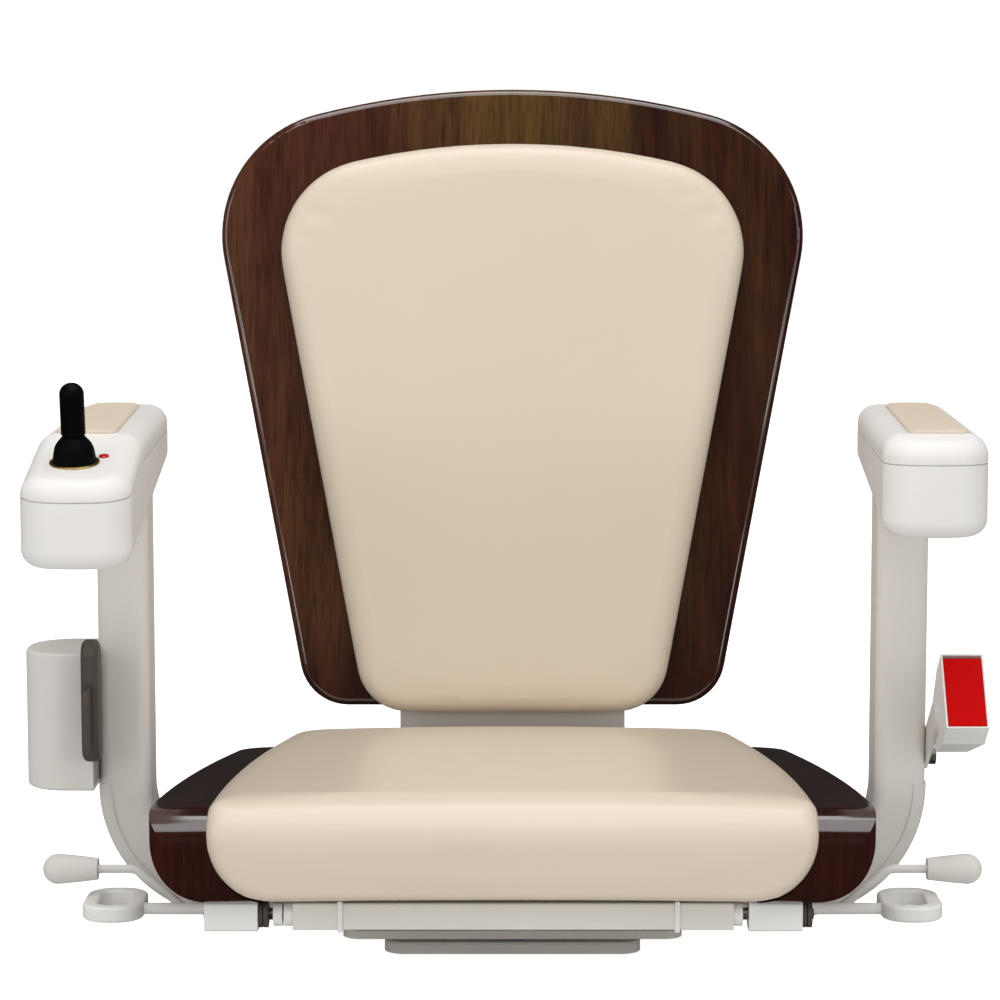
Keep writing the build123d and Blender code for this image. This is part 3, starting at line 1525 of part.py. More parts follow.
with BuildPart() as seat_cushion:
    cushion_fall = atan2(cushion_top_front - cushion_top_rear, cushion_rear - cushion_front)
    with BuildSketch(Plane.YZ.offset(-view_far)):
        seat_side(
            cushion_front,
            cushion_rear,
            cushion_top_front,
            cushion_top_rear,
            seat_bottom,
            cushion_roll,
            8.0,
        )
    extrude(amount=2 * view_far)
    with BuildSketch(Plane.XY.offset(seat_bottom - 10)):
        seat_plan(
            cushion_half_front,
            cushion_half_waist,
            cushion_half_rear,
            cushion_front,
            cushion_rear,
            6.0,
            cushion_rear_corner,
        )
    extrude(amount=view_far, mode=Mode.INTERSECT)
    with BuildSketch(Plane.XZ.offset(view_far)):
        front_view(cushion_half_front, seat_bottom, seat_side_roll, view_high)
    extrude(amount=-2 * view_far, mode=Mode.INTERSECT)
    # the crown: a shallow arch from side to side that follows the fall of the top
    crown_plane = Plane(
        origin=(0, cushion_rear + 30, cushion_top_rear - 30 * tan(cushion_fall)),
        x_dir=(1, 0, 0),
        z_dir=(0, -cos(cushion_fall), sin(cushion_fall)),
    )
    with BuildSketch(crown_plane):
        with BuildLine():
            Polyline(
                (-view_half, -crown_drop), (-view_half, -view_half), (view_half, -view_half), (view_half, -crown_drop)
            )
            ThreePointArc((-view_half, -crown_drop), (0, 0), (view_half, -crown_drop))
        make_face()
    extrude(amount=2 * view_far, mode=Mode.INTERSECT)
    with BuildSketch(Plane.YZ.offset(-view_far)):
        seat_side(
            core_front - soft_gap,
            seat_rear,
            seat_top_front - trough_deep + soft_gap,
            seat_top_rear - trough_deep_rear + soft_gap,
            seat_bottom - 20,
            seat_roll / 2,
            0,
        )
    extrude(amount=2 * view_far, mode=Mode.SUBTRACT)


# ==== Backrest ====
back_plane = Plane(
    origin=(0, back_y, back_z), x_dir=(1, 0, 0), z_dir=(0, -cos(slope), sin(slope))
)
back_axis = Axis(back_plane.origin, back_plane.z_dir)


def back_outline(low_v, half_low, half_high, corner_v, crown_v, low_corner, high_corner):
    # A panel that widens upwards under an arched top
    with BuildLine() as outline:
        Line((-half_low, low_v), (half_low, low_v))
        Line((half_low, low_v), (half_high, corner_v))
        ThreePointArc((half_high, corner_v), (0, crown_v), (-half_high, corner_v))
        Line((-half_high, corner_v), (-half_low, low_v))
    make_face(outline.edges())
    fillet(vertices().group_by(Axis.Y)[0], low_corner)
    fillet(vertices().group_by(Axis.Y)[-1], high_corner)


back_screw_spots = [
    (side * post_screw_x, row) for side in (-1, 1) for row in post_screw_rows
]
with BuildPart() as back_shell:
    with BuildSketch(back_plane):
        back_outline(
            0.0,
            back_half_low,
            back_half_high,
            back_corner_v,
            back_crown_v,
            back_low_corner,
            back_high_corner,
        )
    extrude(amount=-back_thick)
    fillet(back_shell.faces().filter_by(back_axis).edges(), back_edge)
    with BuildSketch(back_plane.offset(-back_thick)):
        with Locations(*back_screw_spots):
            Circle(screw_radius)
    extrude(amount=back_thick - 4, mode=Mode.SUBTRACT)

with BuildPart() as back_pad:
    with BuildSketch(back_plane):
        back_outline(
            pad_low_v,
            pad_half_low,
            pad_half_high,
            pad_corner_v,
            pad_crown_v,
            pad_low_corner,
            pad_high_corner,
        )
    extrude(amount=pad_thick)
    # the crown: full along the middle, thinner at the sides
    crown_view = Plane(
        origin=back_plane.from_local_coords((0, -50, 0)), x_dir=(1, 0, 0), z_dir=back_plane.y_dir
    )
    with BuildSketch(crown_view):
        with BuildLine():
            Polyline(
                (-view_half, -pad_side_thick), (-view_half, 1), (view_half, 1), (view_half, -pad_side_thick)
            )
            ThreePointArc((-view_half, -pad_side_thick), (0, -pad_thick), (view_half, -pad_side_thick))
        make_face()
    extrude(amount=2 * view_far, mode=Mode.INTERSECT)
    fillet(back_pad.faces().sort_by(back_axis)[-1].edges(), pad_round)

with BuildPart() as back_post:
    # an angle plate: its leg lies on the turntable, its blade stands behind the backrest
    inner_face = back_plane.offset(-back_thick)
    outer_face = back_plane.offset(-back_thick - post_thick)
    leg_top = turntable_high + post_thick


    def blade_point(plane, height):
        # where a face of the blade reaches a height
        drop = (height - plane.origin.Z) / cos(slope)
        return (plane.origin.Y + drop * sin(slope), height)


    top_z = back_plane.from_local_coords((0, post_top_v, 0)).Z
    with BuildSketch(Plane.YZ.offset(-post_half)):
        with BuildLine():
            Polyline(
                (post_leg_front, turntable_high),
                blade_point(outer_face, turntable_high),
                blade_point(outer_face, top_z),
                blade_point(inner_face, top_z),
                blade_point(inner_face, leg_top),
                (post_leg_front, leg_top),
                close=True,
            )
        make_face()
    extrude(amount=2 * post_half)
    with BuildSketch(outer_face):
        with Locations(*back_screw_spots):
            Circle(screw_radius)
    extrude(amount=post_thick, mode=Mode.SUBTRACT)
    with BuildSketch(Plane.XY.offset(turntable_high)):
        for row in leg_bolt_rows:
            with Locations((leg_bolt_x, row), (-leg_bolt_x, row)):
                Circle(bolt_radius)
    extrude(amount=post_thick, mode=Mode.SUBTRACT)

# ==== Fasteners on the chair frame ====
arm_bolt_planes = [
    Plane(origin=(side * plate_inner, arm_y + step, leg_z), x_dir=(0, 1, 0), z_dir=(-side, 0, 0))
    for side in (-1, 1)
    for step in (-arm_bolt_spread / 2, arm_bolt_spread / 2)
]
leg_bolt_planes = [
    Plane(origin=(side * leg_bolt_x, row, leg_top)) for side in (-1, 1) for row in leg_bolt_rows
]
anchor_bolt_plane = Plane(
    origin=(arm_outer_x + anchor_thick, anchor_y, anchor_z), x_dir=(0, 1, 0), z_dir=(1, 0, 0)
)
frame_bolts = bolts(
    [*arm_bolt_planes, *leg_bolt_planes, anchor_bolt_plane],
    bolt_radius,
    bolt_head,
    bolt_head_high,
    post_thick + turntable_thick - 0.5,
)

back_screw_planes = [
    Plane(
        origin=outer_face.from_local_coords((x, v, 0)), x_dir=(1, 0, 0), z_dir=-back_plane.z_dir
    )
    for x, v in back_screw_spots
]
reel_screw_planes = [
    Plane(origin=(post_outer_x - reel_plate, reel_screw_y, row), x_dir=(0, 1, 0), z_dir=(-1, 0, 0))
    for row in reel_screw_rows
]
panel_screw_planes = [*back_screw_planes, *reel_screw_planes]
with BuildPart() as frame_fasteners:
    # the large bolts of the frame, then the small screws of backrest and reel
    add(frame_bolts.part)
    add(bolts(panel_screw_planes, screw_radius, screw_head, screw_head_high, panel_screw_long).part)

pieces = {
    "base_plate": base_plate,
    "index_plate": index_plate,
    "swivel_stud": swivel_stud,
    "base_fasteners": base_fasteners,
    "turntable_plate": turntable_plate,
    "swivel_bushes": swivel_bushes,
    "side_plates": side_plates,
    "front_cross_member": front_cross_member,
    "front_clips": front_clips,
    "front_shaft": front_shaft,
    "end_blocks": end_blocks,
    "end_washers": end_washers,
    "latch_housing": latch_housing,
    "latch_pin": latch_pin,
    "latch_spring": latch_spring,
    "lever_rod_left": lever_rod_left,
    "lever_rod_right": lever_rod_right,
    "lever_grip_left": lever_grip_left,
    "lever_grip_right": lever_grip_right,
    "pull_loop_left": pull_loop_left,
    "pull_loop_right": pull_loop_right,
    "pull_bushes": pull_bushes,
    "pull_springs": pull_springs,
    "arm_post_left": arm_post_left,
    "arm_post_right": arm_post_right,
    "arm_trims": arm_trims,
    "armrest_shell_left": armrest_shell_left,
    "armrest_shell_right": armrest_shell_right,
    "armrest_cap_left": armrest_cap_left,
    "armrest_cap_right": armrest_cap_right,
    "armrest_pad_left": armrest_pad_left,
    "armrest_pad_right": armrest_pad_right,
    "joystick_ring": joystick_ring,
    "joystick_gimbal": joystick_gimbal,
    "joystick_handle": joystick_handle,
    "joystick_boot": joystick_boot,
    "status_lamp": status_lamp,
    "control_board": control_board,
    "retractor_housing": retractor_housing,
    "retractor_plate": retractor_plate,
    "spring_case": spring_case,
    "belt_spool": belt_spool,
    "belt_leader": belt_leader,
    "belt_handle": belt_handle,
    "belt_tongue": belt_tongue,
    "buckle_housing": buckle_housing,
    "buckle_button": buckle_button,
    "buckle_spring": buckle_spring,
    "buckle_anchor": buckle_anchor,
    "seat_shell": seat_shell,
    "seat_board": seat_board,
    "seat_screws": seat_screws,
    "seat_bumpers": seat_bumpers,
    "seat_hinges": seat_hinges,
    "pivot_pins": pivot_pins,
    "seat_cushion": seat_cushion,
    "back_shell": back_shell,
    "back_pad": back_pad,
    "back_post": back_post,
    "frame_fasteners": frame_fasteners,
}

os.makedirs("parts", exist_ok=True)
for name, piece in pieces.items():
    piece.part.label = name
    export_step(piece.part, f"parts/{name}.step")
print(len(pieces), "pieces")
print("joystick", stick_z, degrees(brow_fall), "web", web_x, roll_radius)
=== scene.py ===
import json
import math

import bmesh
import bpy
import numpy as np
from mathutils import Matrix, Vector


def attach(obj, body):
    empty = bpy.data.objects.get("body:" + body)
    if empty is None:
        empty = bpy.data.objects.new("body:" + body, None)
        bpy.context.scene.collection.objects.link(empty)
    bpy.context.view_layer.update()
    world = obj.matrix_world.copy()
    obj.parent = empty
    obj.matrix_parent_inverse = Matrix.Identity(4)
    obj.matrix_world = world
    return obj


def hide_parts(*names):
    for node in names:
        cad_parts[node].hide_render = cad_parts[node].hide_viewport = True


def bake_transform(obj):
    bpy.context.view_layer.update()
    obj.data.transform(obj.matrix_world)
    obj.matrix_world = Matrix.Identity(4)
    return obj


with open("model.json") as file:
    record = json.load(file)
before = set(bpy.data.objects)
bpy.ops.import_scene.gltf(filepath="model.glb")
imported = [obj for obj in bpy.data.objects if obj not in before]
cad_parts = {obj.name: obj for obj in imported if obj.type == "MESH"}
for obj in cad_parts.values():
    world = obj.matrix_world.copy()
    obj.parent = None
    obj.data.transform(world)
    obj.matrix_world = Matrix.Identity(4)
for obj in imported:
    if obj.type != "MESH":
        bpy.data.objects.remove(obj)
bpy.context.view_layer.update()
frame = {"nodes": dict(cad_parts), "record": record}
nodes = frame["nodes"]
scene = bpy.context.scene
print("frame loaded")

# Camera: level with the armrests' tops, looking down a little from the front
camera = {
    "place": (0.0, -2.18, 0.56),
    "pitch": 6.525,
    "lens": 110.16,
    "shiftX": -0.0125,
}
cameraData = bpy.data.cameras.new("camera")
cameraData.sensor_width = 36.0
cameraData.lens = camera["lens"]
cameraData.shift_x = camera["shiftX"]
cameraData.clip_start = 0.05
cameraObject = bpy.data.objects.new("camera", cameraData)
cameraObject.location = camera["place"]
cameraObject.rotation_euler = (math.radians(90 - camera["pitch"]), 0, 0)
scene.collection.objects.link(cameraObject)
scene.camera = cameraObject


def srgb(red, green, blue):
    # 0 to 255 display values to the linear colour that a shader takes
    linear = []
    for value in (red, green, blue):
        share = value / 255
        linear.append(share / 12.92 if share <= 0.04045 else ((share + 0.055) / 1.055) ** 2.4)
    return (*linear, 1.0)


def newMaterial(name):
    material = bpy.data.materials.new(name)
    material.use_nodes = True
    tree = material.node_tree
    shader = tree.nodes["Principled BSDF"]
    coordinate = tree.nodes.new("ShaderNodeTexCoord")
    return material, tree, shader, coordinate.outputs["Object"]


def scaled(tree, vector, scale):
    mapping = tree.nodes.new("ShaderNodeMapping")
    mapping.inputs["Scale"].default_value = scale
    tree.links.new(vector, mapping.inputs["Vector"])
    return mapping.outputs["Vector"]


def noise(tree, vector, scale, detail=2.0, distortion=0.0):
    node = tree.nodes.new("ShaderNodeTexNoise")
    node.inputs["Scale"].default_value = scale
    node.inputs["Detail"].default_value = detail
    node.inputs["Distortion"].default_value = distortion
    tree.links.new(vector, node.inputs["Vector"])
    return node.outputs["Fac"]


def spread(tree, value, low, high, fromLow=0.0, fromHigh=1.0):
    node = tree.nodes.new("ShaderNodeMapRange")
    node.inputs["From Min"].default_value = fromLow
    node.inputs["From Max"].default_value = fromHigh
    node.inputs["To Min"].default_value = low
    node.inputs["To Max"].default_value = high
    tree.links.new(value, node.inputs["Value"])
    return node.outputs["Result"]


def combine(tree, operation, *values):
    node = tree.nodes.new("ShaderNodeMath")
    node.operation = operation
    for socket, value in zip(node.inputs, values):
        if isinstance(value, float):
            socket.default_value = value
        else:
            tree.links.new(value, socket)
    return node.outputs[0]


def blendColors(tree, share, first, second):
    node = tree.nodes.new("ShaderNodeMix")
    node.data_type = "RGBA"
    for socket, color in ((node.inputs[6], first), (node.inputs[7], second)):
        if isinstance(color, tuple):
            socket.default_value = color
        else:
            tree.links.new(color, socket)
    tree.links.new(share, node.inputs[0])
    return node.outputs[2]


def bump(tree, shader, height, strength, distance):
    node = tree.nodes.new("ShaderNodeBump")
    node.inputs["Strength"].default_value = strength
    node.inputs["Distance"].default_value = distance
    tree.links.new(height, node.inputs["Height"])
    tree.links.new(node.outputs["Normal"], shader.inputs["Normal"])


def plainMaterial(spec):
    # One colour with a faint cloud of lighter and darker, and a grain as fine as its scale says
    material, tree, shader, place = newMaterial(spec["name"])
    base = spec["color"]
    cloud = noise(tree, place, spec.get("cloudScale", 14.0), 3.0)
    shade = spec.get("shade", 0.95)
    darker = srgb(*[channel * shade for channel in base])
    tree.links.new(blendColors(tree, cloud, darker, srgb(*base)), shader.inputs["Base Color"])
    rough = spec["rough"]
    patches = noise(tree, place, spec.get("cloudScale", 14.0) * 3, 2.0)
    tree.links.new(spread(tree, patches, rough * 0.88, rough * 1.12), shader.inputs["Roughness"])
    shader.inputs["Metallic"].default_value = spec.get("metal", 0.0)
    shader.inputs["Specular IOR Level"].default_value = spec.get("shine", 0.5)
    shader.inputs["Coat Weight"].default_value = spec.get("coat", 0.0)
    shader.inputs["Coat Roughness"].default_value = spec.get("coatRough", 0.15)
    if spec.get("grain"):
        fine = noise(tree, place, spec["grain"], 2.0)
        bump(tree, shader, fine, spec.get("grainStrength", 0.15), 0.0004)
    return material


def turnedMaterial(spec):
    # Bright metal with fine tool lines across the piece's long axis
    material, tree, shader, place = newMaterial(spec["name"])
    lines = noise(tree, scaled(tree, place, spec["stretch"]), spec["lineScale"], 2.0)
    base = spec["color"]
    darker = srgb(*[channel * 0.82 for channel in base])
    tree.links.new(blendColors(tree, lines, darker, srgb(*base)), shader.inputs["Base Color"])
    tree.links.new(
        spread(tree, lines, spec["rough"] * 0.7, spec["rough"] * 1.3), shader.inputs["Roughness"]
    )
    shader.inputs["Metallic"].default_value = 1.0
    bump(tree, shader, lines, 0.08, 0.0002)
    return material


def hideMaterial(spec):
    # Upholstery: fine pebbled pores over slow, soft changes of tone
    material, tree, shader, place = newMaterial(spec["name"])
    slow = noise(tree, place, 5.0, 3.0)
    darker = srgb(*spec["dark"])
    tree.links.new(blendColors(tree, slow, darker, srgb(*spec["color"])), shader.inputs["Base Color"])
    pores = tree.nodes.new("ShaderNodeTexVoronoi")
    pores.inputs["Scale"].default_value = spec["poreScale"]
    tree.links.new(place, pores.inputs["Vector"])
    tree.links.new(
        spread(tree, noise(tree, place, 60.0), spec["rough"] * 0.92, spec["rough"] * 1.08),
        shader.inputs["Roughness"],
    )
    shader.inputs["Specular IOR Level"].default_value = spec["shine"]
    shader.inputs["Coat Weight"].default_value = spec["coat"]
    shader.inputs["Coat Roughness"].default_value = 0.2
    bump(tree, shader, pores.outputs["Distance"], spec["poreStrength"], 0.00025)
    return material


def woodMaterial(spec):
    # Dark veneer under lacquer: upright streaks and short dark pores. Painted light: the backrest is
    # paler to one side and golden in its top middle, over random golden patches of its own tone
    material, tree, shader, place = newMaterial(spec["name"])
    fine = noise(tree, scaled(tree, place, (270.0, 110.0, 7.0)), 1.0, 4.0, 0.3)
    broad = noise(tree, scaled(tree, place, (62.0, 24.0, 1.7)), 1.0, 3.0, 0.5)
    pores = noise(tree, scaled(tree, place, (520.0, 220.0, 24.0)), 1.0, 2.0)
    axes = tree.nodes.new("ShaderNodeSeparateXYZ")
    tree.links.new(place, axes.inputs["Vector"])
    # painted light: lighter towards the backrest's left side, as if lit from the left
    side = spread(tree, axes.outputs["X"], 1.0, 0.0, -0.24, 0.14)
    upper = spread(tree, axes.outputs["Z"], 0.0, 1.0, 0.13, 0.19)
    # painted light: brighter, golden tone towards the backrest's top middle
    middle = spread(tree, combine(tree, "ABSOLUTE", axes.outputs["X"]), 0.75, 0.0, 0.0, 0.13)
    high = spread(tree, axes.outputs["Z"], 0.25, 1.0, 0.40, 0.56)
    streaks = combine(tree, "MULTIPLY_ADD", fine, 0.9, spread(tree, broad, -0.55, 0.65))
    patches = spread(tree, noise(tree, scaled(tree, place, (26.0, 10.0, 3.0)), 1.0, 2.0), -0.6, 0.9)
    paintedSideLightShare = combine(tree, "MULTIPLY", side, upper)
    goldPatchesAndPaintedTopLightShare = combine(tree, "MULTIPLY_ADD", combine(tree, "MULTIPLY", middle, high), upper, patches)
    goldPatchesAndPaintedTopLightShare = combine(tree, "MULTIPLY", goldPatchesAndPaintedTopLightShare, upper)
    red = blendColors(tree, streaks, srgb(*spec["redDark"]), srgb(*spec["red"]))
    pale = blendColors(tree, streaks, srgb(*spec["paleDark"]), srgb(*spec["pale"]))
    gold = blendColors(tree, streaks, srgb(*spec["goldDark"]), srgb(*spec["gold"]))
    body = blendColors(tree, goldPatchesAndPaintedTopLightShare, blendColors(tree, paintedSideLightShare, red, pale), gold)
    flecks = tree.nodes.new("ShaderNodeMix")
    flecks.data_type = "RGBA"
    flecks.blend_type = "MULTIPLY"
    tree.links.new(body, flecks.inputs[6])
    flecks.inputs[7].default_value = (0.50, 0.46, 0.44, 1.0)
    tree.links.new(spread(tree, pores, -1.6, 1.9), flecks.inputs[0])
    tree.links.new(flecks.outputs[2], shader.inputs["Base Color"])
    shader.inputs["Roughness"].default_value = spec["rough"]
    shader.inputs["Specular IOR Level"].default_value = spec["shine"]
    shader.inputs["Coat Weight"].default_value = spec["coat"]
    shader.inputs["Coat Roughness"].default_value = spec["coatRough"]
    shader.inputs["Coat IOR"].default_value = 1.9
    return material


def wovenMaterial(spec):
    # Belt webbing: ribs across the belt
    material, tree, shader, place = newMaterial(spec["name"])
    wave = tree.nodes.new("ShaderNodeTexWave")
    wave.bands_direction = spec["direction"]
    wave.inputs["Scale"].default_value = spec["scale"]
    tree.links.new(place, wave.inputs["Vector"])
    base = spec["color"]
    darker = srgb(*[channel * 0.6 for channel in base])
    tree.links.new(
        blendColors(tree, wave.outputs["Fac"], darker, srgb(*base)), shader.inputs["Base Color"]
    )
    shader.inputs["Roughness"].default_value = 0.75
    bump(tree, shader, wave.outputs["Fac"], 0.4, 0.0003)
    return material


woodLook = woodMaterial(
    {
        "name": "walnutGloss",
        "redDark": (30, 5, 3),
        "red": (62, 20, 9),
        # pale, paleDark: tone of the painted light on the backrest's left side
        "paleDark": (58, 24, 14),
        "pale": (96, 54, 38),
        # gold, goldDark: tone of the painted light at the backrest's top middle and of random golden patches
        "goldDark": (62, 40, 14),
        "gold": (108, 80, 40),
        "rough": 0.45,
        "shine": 0.02,
        "coat": 1.0,
        "coatRough": 0.12,
    }
)
hideLook = hideMaterial(
    {
        "name": "creamHide",
        "color": (219, 204, 184),
        "dark": (212, 197, 177),
        "rough": 0.38,
        "shine": 0.42,
        "coat": 0.25,
        "poreScale": 900.0,
        "poreStrength": 0.10,
    }
)
armHideLook = hideMaterial(
    {
        "name": "armHide",
        "color": (210, 196, 177),
        "dark": (204, 190, 171),
        "rough": 0.7,
        "shine": 0.1,
        "coat": 0.0,
        "poreScale": 900.0,
        "poreStrength": 0.10,
    }
)
postLook = plainMaterial(
    {"name": "postPaint", "color": (226, 221, 214), "shine": 0.1, "rough": 0.42, "grain": 900.0, "grainStrength": 0.05}
)
# Painted light: near-white paint for the painted_steel slot, lighter than the posts' grey, so the back post shows
# bright in the shade between seat and backrest
brightenedBracketLook = plainMaterial(
    {"name": "brightenedBracketPaint", "color": (246, 240, 232), "shine": 0.1, "rough": 0.45, "grain": 900.0, "grainStrength": 0.05}
)
podLook = plainMaterial(
    {"name": "podPlastic", "color": (233, 230, 226), "shine": 0.1, "rough": 0.38, "grain": 1600.0, "grainStrength": 0.05}
)
trimLook = plainMaterial(
    {"name": "trimPlastic", "color": (222, 218, 212), "shine": 0.1, "rough": 0.45, "grain": 1400.0, "grainStrength": 0.06}
)
whiteLook = plainMaterial({"name": "whitePlastic", "color": (238, 236, 232), "shine": 0.1, "rough": 0.32})
darkLook = plainMaterial(
    {"name": "darkPlastic", "color": (82, 74, 66), "rough": 0.5, "grain": 1200.0, "grainStrength": 0.1}
)
blackLook = plainMaterial({"name": "blackPlastic", "color": (9, 8, 7), "rough": 0.42, "shine": 0.06})
redLook = plainMaterial({"name": "redPlastic", "color": (200, 4, 5), "rough": 0.5, "shade": 0.98, "shine": 0.04})
rubberLook = plainMaterial(
    {"name": "blackRubber", "color": (9, 8, 8), "rough": 0.62, "grain": 1500.0, "shine": 0.06}
)
brassLook = plainMaterial(
    {"name": "brassRing", "color": (205, 176, 112), "rough": 0.28, "metal": 1.0, "shade": 0.9}
)
bronzeLook = plainMaterial(
    {"name": "bronzeBush", "color": (170, 128, 78), "rough": 0.35, "metal": 1.0, "shade": 0.88}
)
lampLook = plainMaterial({"name": "redLens", "color": (196, 18, 12), "rough": 0.2, "coat": 0.6})
boardLook = plainMaterial({"name": "coatedBoard", "color": (28, 88, 48), "rough": 0.4})
plyLook = plainMaterial({"name": "plywood", "color": (186, 156, 120), "rough": 0.7, "cloudScale": 30.0})
rodLook = plainMaterial({"name": "rodPaint", "color": (226, 223, 218), "shine": 0.1, "rough": 0.35, "shade": 0.96})
steelLook = turnedMaterial(
    {"name": "turnedSteel", "color": (190, 190, 192), "rough": 0.32, "stretch": (1, 1, 12), "lineScale": 90.0}
)
zincLook = turnedMaterial(
    {"name": "zincSteel", "color": (205, 206, 208), "rough": 0.38, "stretch": (1, 1, 1), "lineScale": 120.0}
)
springLook = turnedMaterial(
    {"name": "springSteel", "color": (120, 120, 124), "rough": 0.4, "stretch": (1, 1, 1), "lineScale": 200.0}
)
webLook = wovenMaterial(
    {"name": "beltWeb", "color": (70, 66, 62), "direction": "Y", "scale": 180.0}
)

looks = {
    "painted_steel": brightenedBracketLook,
    "painted_bracket": postLook,
    "pale_rod": rodLook,
    "machined_steel": steelLook,
    "zinc_fastener": zincLook,
    "spring_steel": springLook,
    "bronze_bush": bronzeLook,
    "walnut_gloss": woodLook,
    "plywood": plyLook,
    "cream_hide": hideLook,
    "pod_plastic": podLook,
    "trim_plastic": trimLook,
    "white_plastic": whiteLook,
    "dark_plastic": darkLook,
    "black_plastic": blackLook,
    "red_plastic": redLook,
    "black_rubber": rubberLook,
    "brass_ring": brassLook,
    "webbing": webLook,
    "lamp_lens": lampLook,
    "board_green": boardLook,
}
slotOf = {entry["node"]: entry["material_slot"] for entry in frame["record"]["subparts"]}


def paint(thing, look):
    thing.data.materials.clear()
    thing.data.materials.append(look)


for nodeName, nodeObject in nodes.items():
    paint(nodeObject, looks[slotOf[nodeName]])
print("materials done")


def settle(thing):
    # Turns the modifiers into plain mesh and takes them off
    scene.view_layers[0].update()
    graph = bpy.context.evaluated_depsgraph_get()
    finished = bpy.data.meshes.new_from_object(thing.evaluated_get(graph))
    thing.modifiers.clear()
    thing.data = finished


def outline(corners):
    # Closed outline from (x, y, radius) corners, each rounded by an arc of short steps
    points = []
    for index, (x, y, radius) in enumerate(corners):
        corner = np.array((x, y))
        before = np.array(corners[index - 1][:2]) - corner
        after = np.array(corners[(index + 1) % len(corners)][:2]) - corner
        before = before / np.linalg.norm(before)
        after = after / np.linalg.norm(after)
        half = math.acos(np.clip(before @ after, -1, 1)) / 2
        if radius <= 0 or half > 1.56:
            points.append(corner)
            continue
        toEdge = radius / math.tan(half)
        middle = (before + after) / np.linalg.norm(before + after)
        center = corner + middle * radius / math.sin(half)
        first = corner + before * toEdge - center
        last = corner + after * toEdge - center
        turn = math.pi - 2 * half
        if first[0] * last[1] - first[1] * last[0] < 0:
            turn = -turn
        for step in range(13):
            angle = turn * step / 12
            cosine, sine = math.cos(angle), math.sin(angle)
            points.append(
                center + (first[0] * cosine - first[1] * sine, first[0] * sine + first[1] * cosine)
            )
    return np.array(points)


def distanceTo(points, across, along):
    # Signed distance of every grid place from a closed outline, negative inside
    least = np.full(across.shape, 1e9)
    inside = np.zeros(across.shape, dtype=bool)
    for (x0, y0), (x1, y1) in zip(points, np.roll(points, -1, axis=0)):
        dx, dy = x1 - x0, y1 - y0
        length = dx * dx + dy * dy
        if length < 1e-14:
            continue
        share = np.clip(((across - x0) * dx + (along - y0) * dy) / length, 0, 1)
        least = np.minimum(least, (across - x0 - share * dx) ** 2 + (along - y0 - share * dy) ** 2)
        if dy:
            crosses = (y0 > along) != (y1 > along)
            inside ^= crosses & (across < x0 + (along - y0) * dx / dy)
    return np.where(inside, -1.0, 1.0) * np.sqrt(least)


def roundedMeeting(radius, *fields):
    # The shared inside of several forms, with every edge between them rounded
    over = sum(np.maximum(field + radius, 0) ** 2 for field in fields)
    most = fields[0]
    for field in fields[1:]:
        most = np.maximum(most, field)
    return np.minimum(-radius, most) + np.sqrt(over)


def skinOf(field, low, step):
    # Even quad skin where the field changes sign, its points averaged from the crossings
    inside = field < 0
    cells = tuple(size - 1 for size in field.shape)
    total = np.zeros(cells + (3,))
    count = np.zeros(cells)
    for axis in range(3):
        others = [other for other in range(3) if other != axis]
        one = [slice(None)] * 3
        two = [slice(None)] * 3
        one[axis] = slice(0, -1)
        two[axis] = slice(1, None)
        first, second = field[tuple(one)], field[tuple(two)]
        crosses = inside[tuple(one)] != inside[tuple(two)]
        share = np.where(crosses, first / np.where(crosses, first - second, 1), 0)
        for a in (0, 1):
            for b in (0, 1):
                part = [slice(None)] * 3
                part[others[0]] = slice(a, a + cells[others[0]])
                part[others[1]] = slice(b, b + cells[others[1]])
                hit = crosses[tuple(part)]
                count += hit
                total[..., axis] += np.where(hit, share[tuple(part)], 0)
                total[..., others[0]] += hit * a
                total[..., others[1]] += hit * b
    used = count > 0
    number = np.full(cells, -1)
    number[used] = np.arange(int(used.sum()))
    corner = np.argwhere(used) + total[used] / count[used][:, None]
    points = np.array(low) + corner * step
    faces = []
    for axis in range(3):
        one = [slice(None)] * 3
        two = [slice(None)] * 3
        one[axis] = slice(0, -1)
        two[axis] = slice(1, None)
        crosses = inside[tuple(one)] != inside[tuple(two)]
        for place in np.argwhere(crosses):
            a, b = [other for other in range(3) if other != axis]
            ring = []
            for shiftA, shiftB in ((-1, -1), (0, -1), (0, 0), (-1, 0)):
                cell = place.copy()
                cell[a] += shiftA
                cell[b] += shiftB
                ring.append(int(number[tuple(cell)]))
            outward = inside[tuple(place)]
            if axis == 1:
                outward = not outward
            faces.append(ring if outward else ring[::-1])
    return points, faces


def plump(piece, spec):
    # Cloth with a little pressure inside it. The face it lies on is held, and no point may
    # travel further than the cap, so it stays on its board
    mesh = piece.data
    away = Vector(spec["away"]).normalized()
    held = piece.vertex_groups.new(name="held")
    for vertex in mesh.vertices:
        if vertex.normal.dot(away) < -0.2:
            held.add([vertex.index], 1.0, "REPLACE")
    start = [vertex.co.copy() for vertex in mesh.vertices]
    cloth = piece.modifiers.new("cloth", "CLOTH")
    settings = cloth.settings
    settings.quality = 4
    settings.mass = 0.3
    settings.tension_stiffness = 20
    settings.compression_stiffness = 20
    settings.bending_stiffness = 10
    settings.use_pressure = True
    settings.uniform_pressure_force = spec["pressure"]
    settings.vertex_group_mass = "held"
    settings.effector_weights.gravity = 0.0
    cloth.point_cache.frame_start = 1
    cloth.point_cache.frame_end = 16
    for step in range(1, 17):
        scene.frame_set(step)
    settle(piece)
    scene.frame_set(1)
    for vertex, origin in zip(piece.data.vertices, start):
        move = vertex.co - origin
        if move.length > spec["cap"]:
            vertex.co = origin + move.normalized() * spec["cap"]


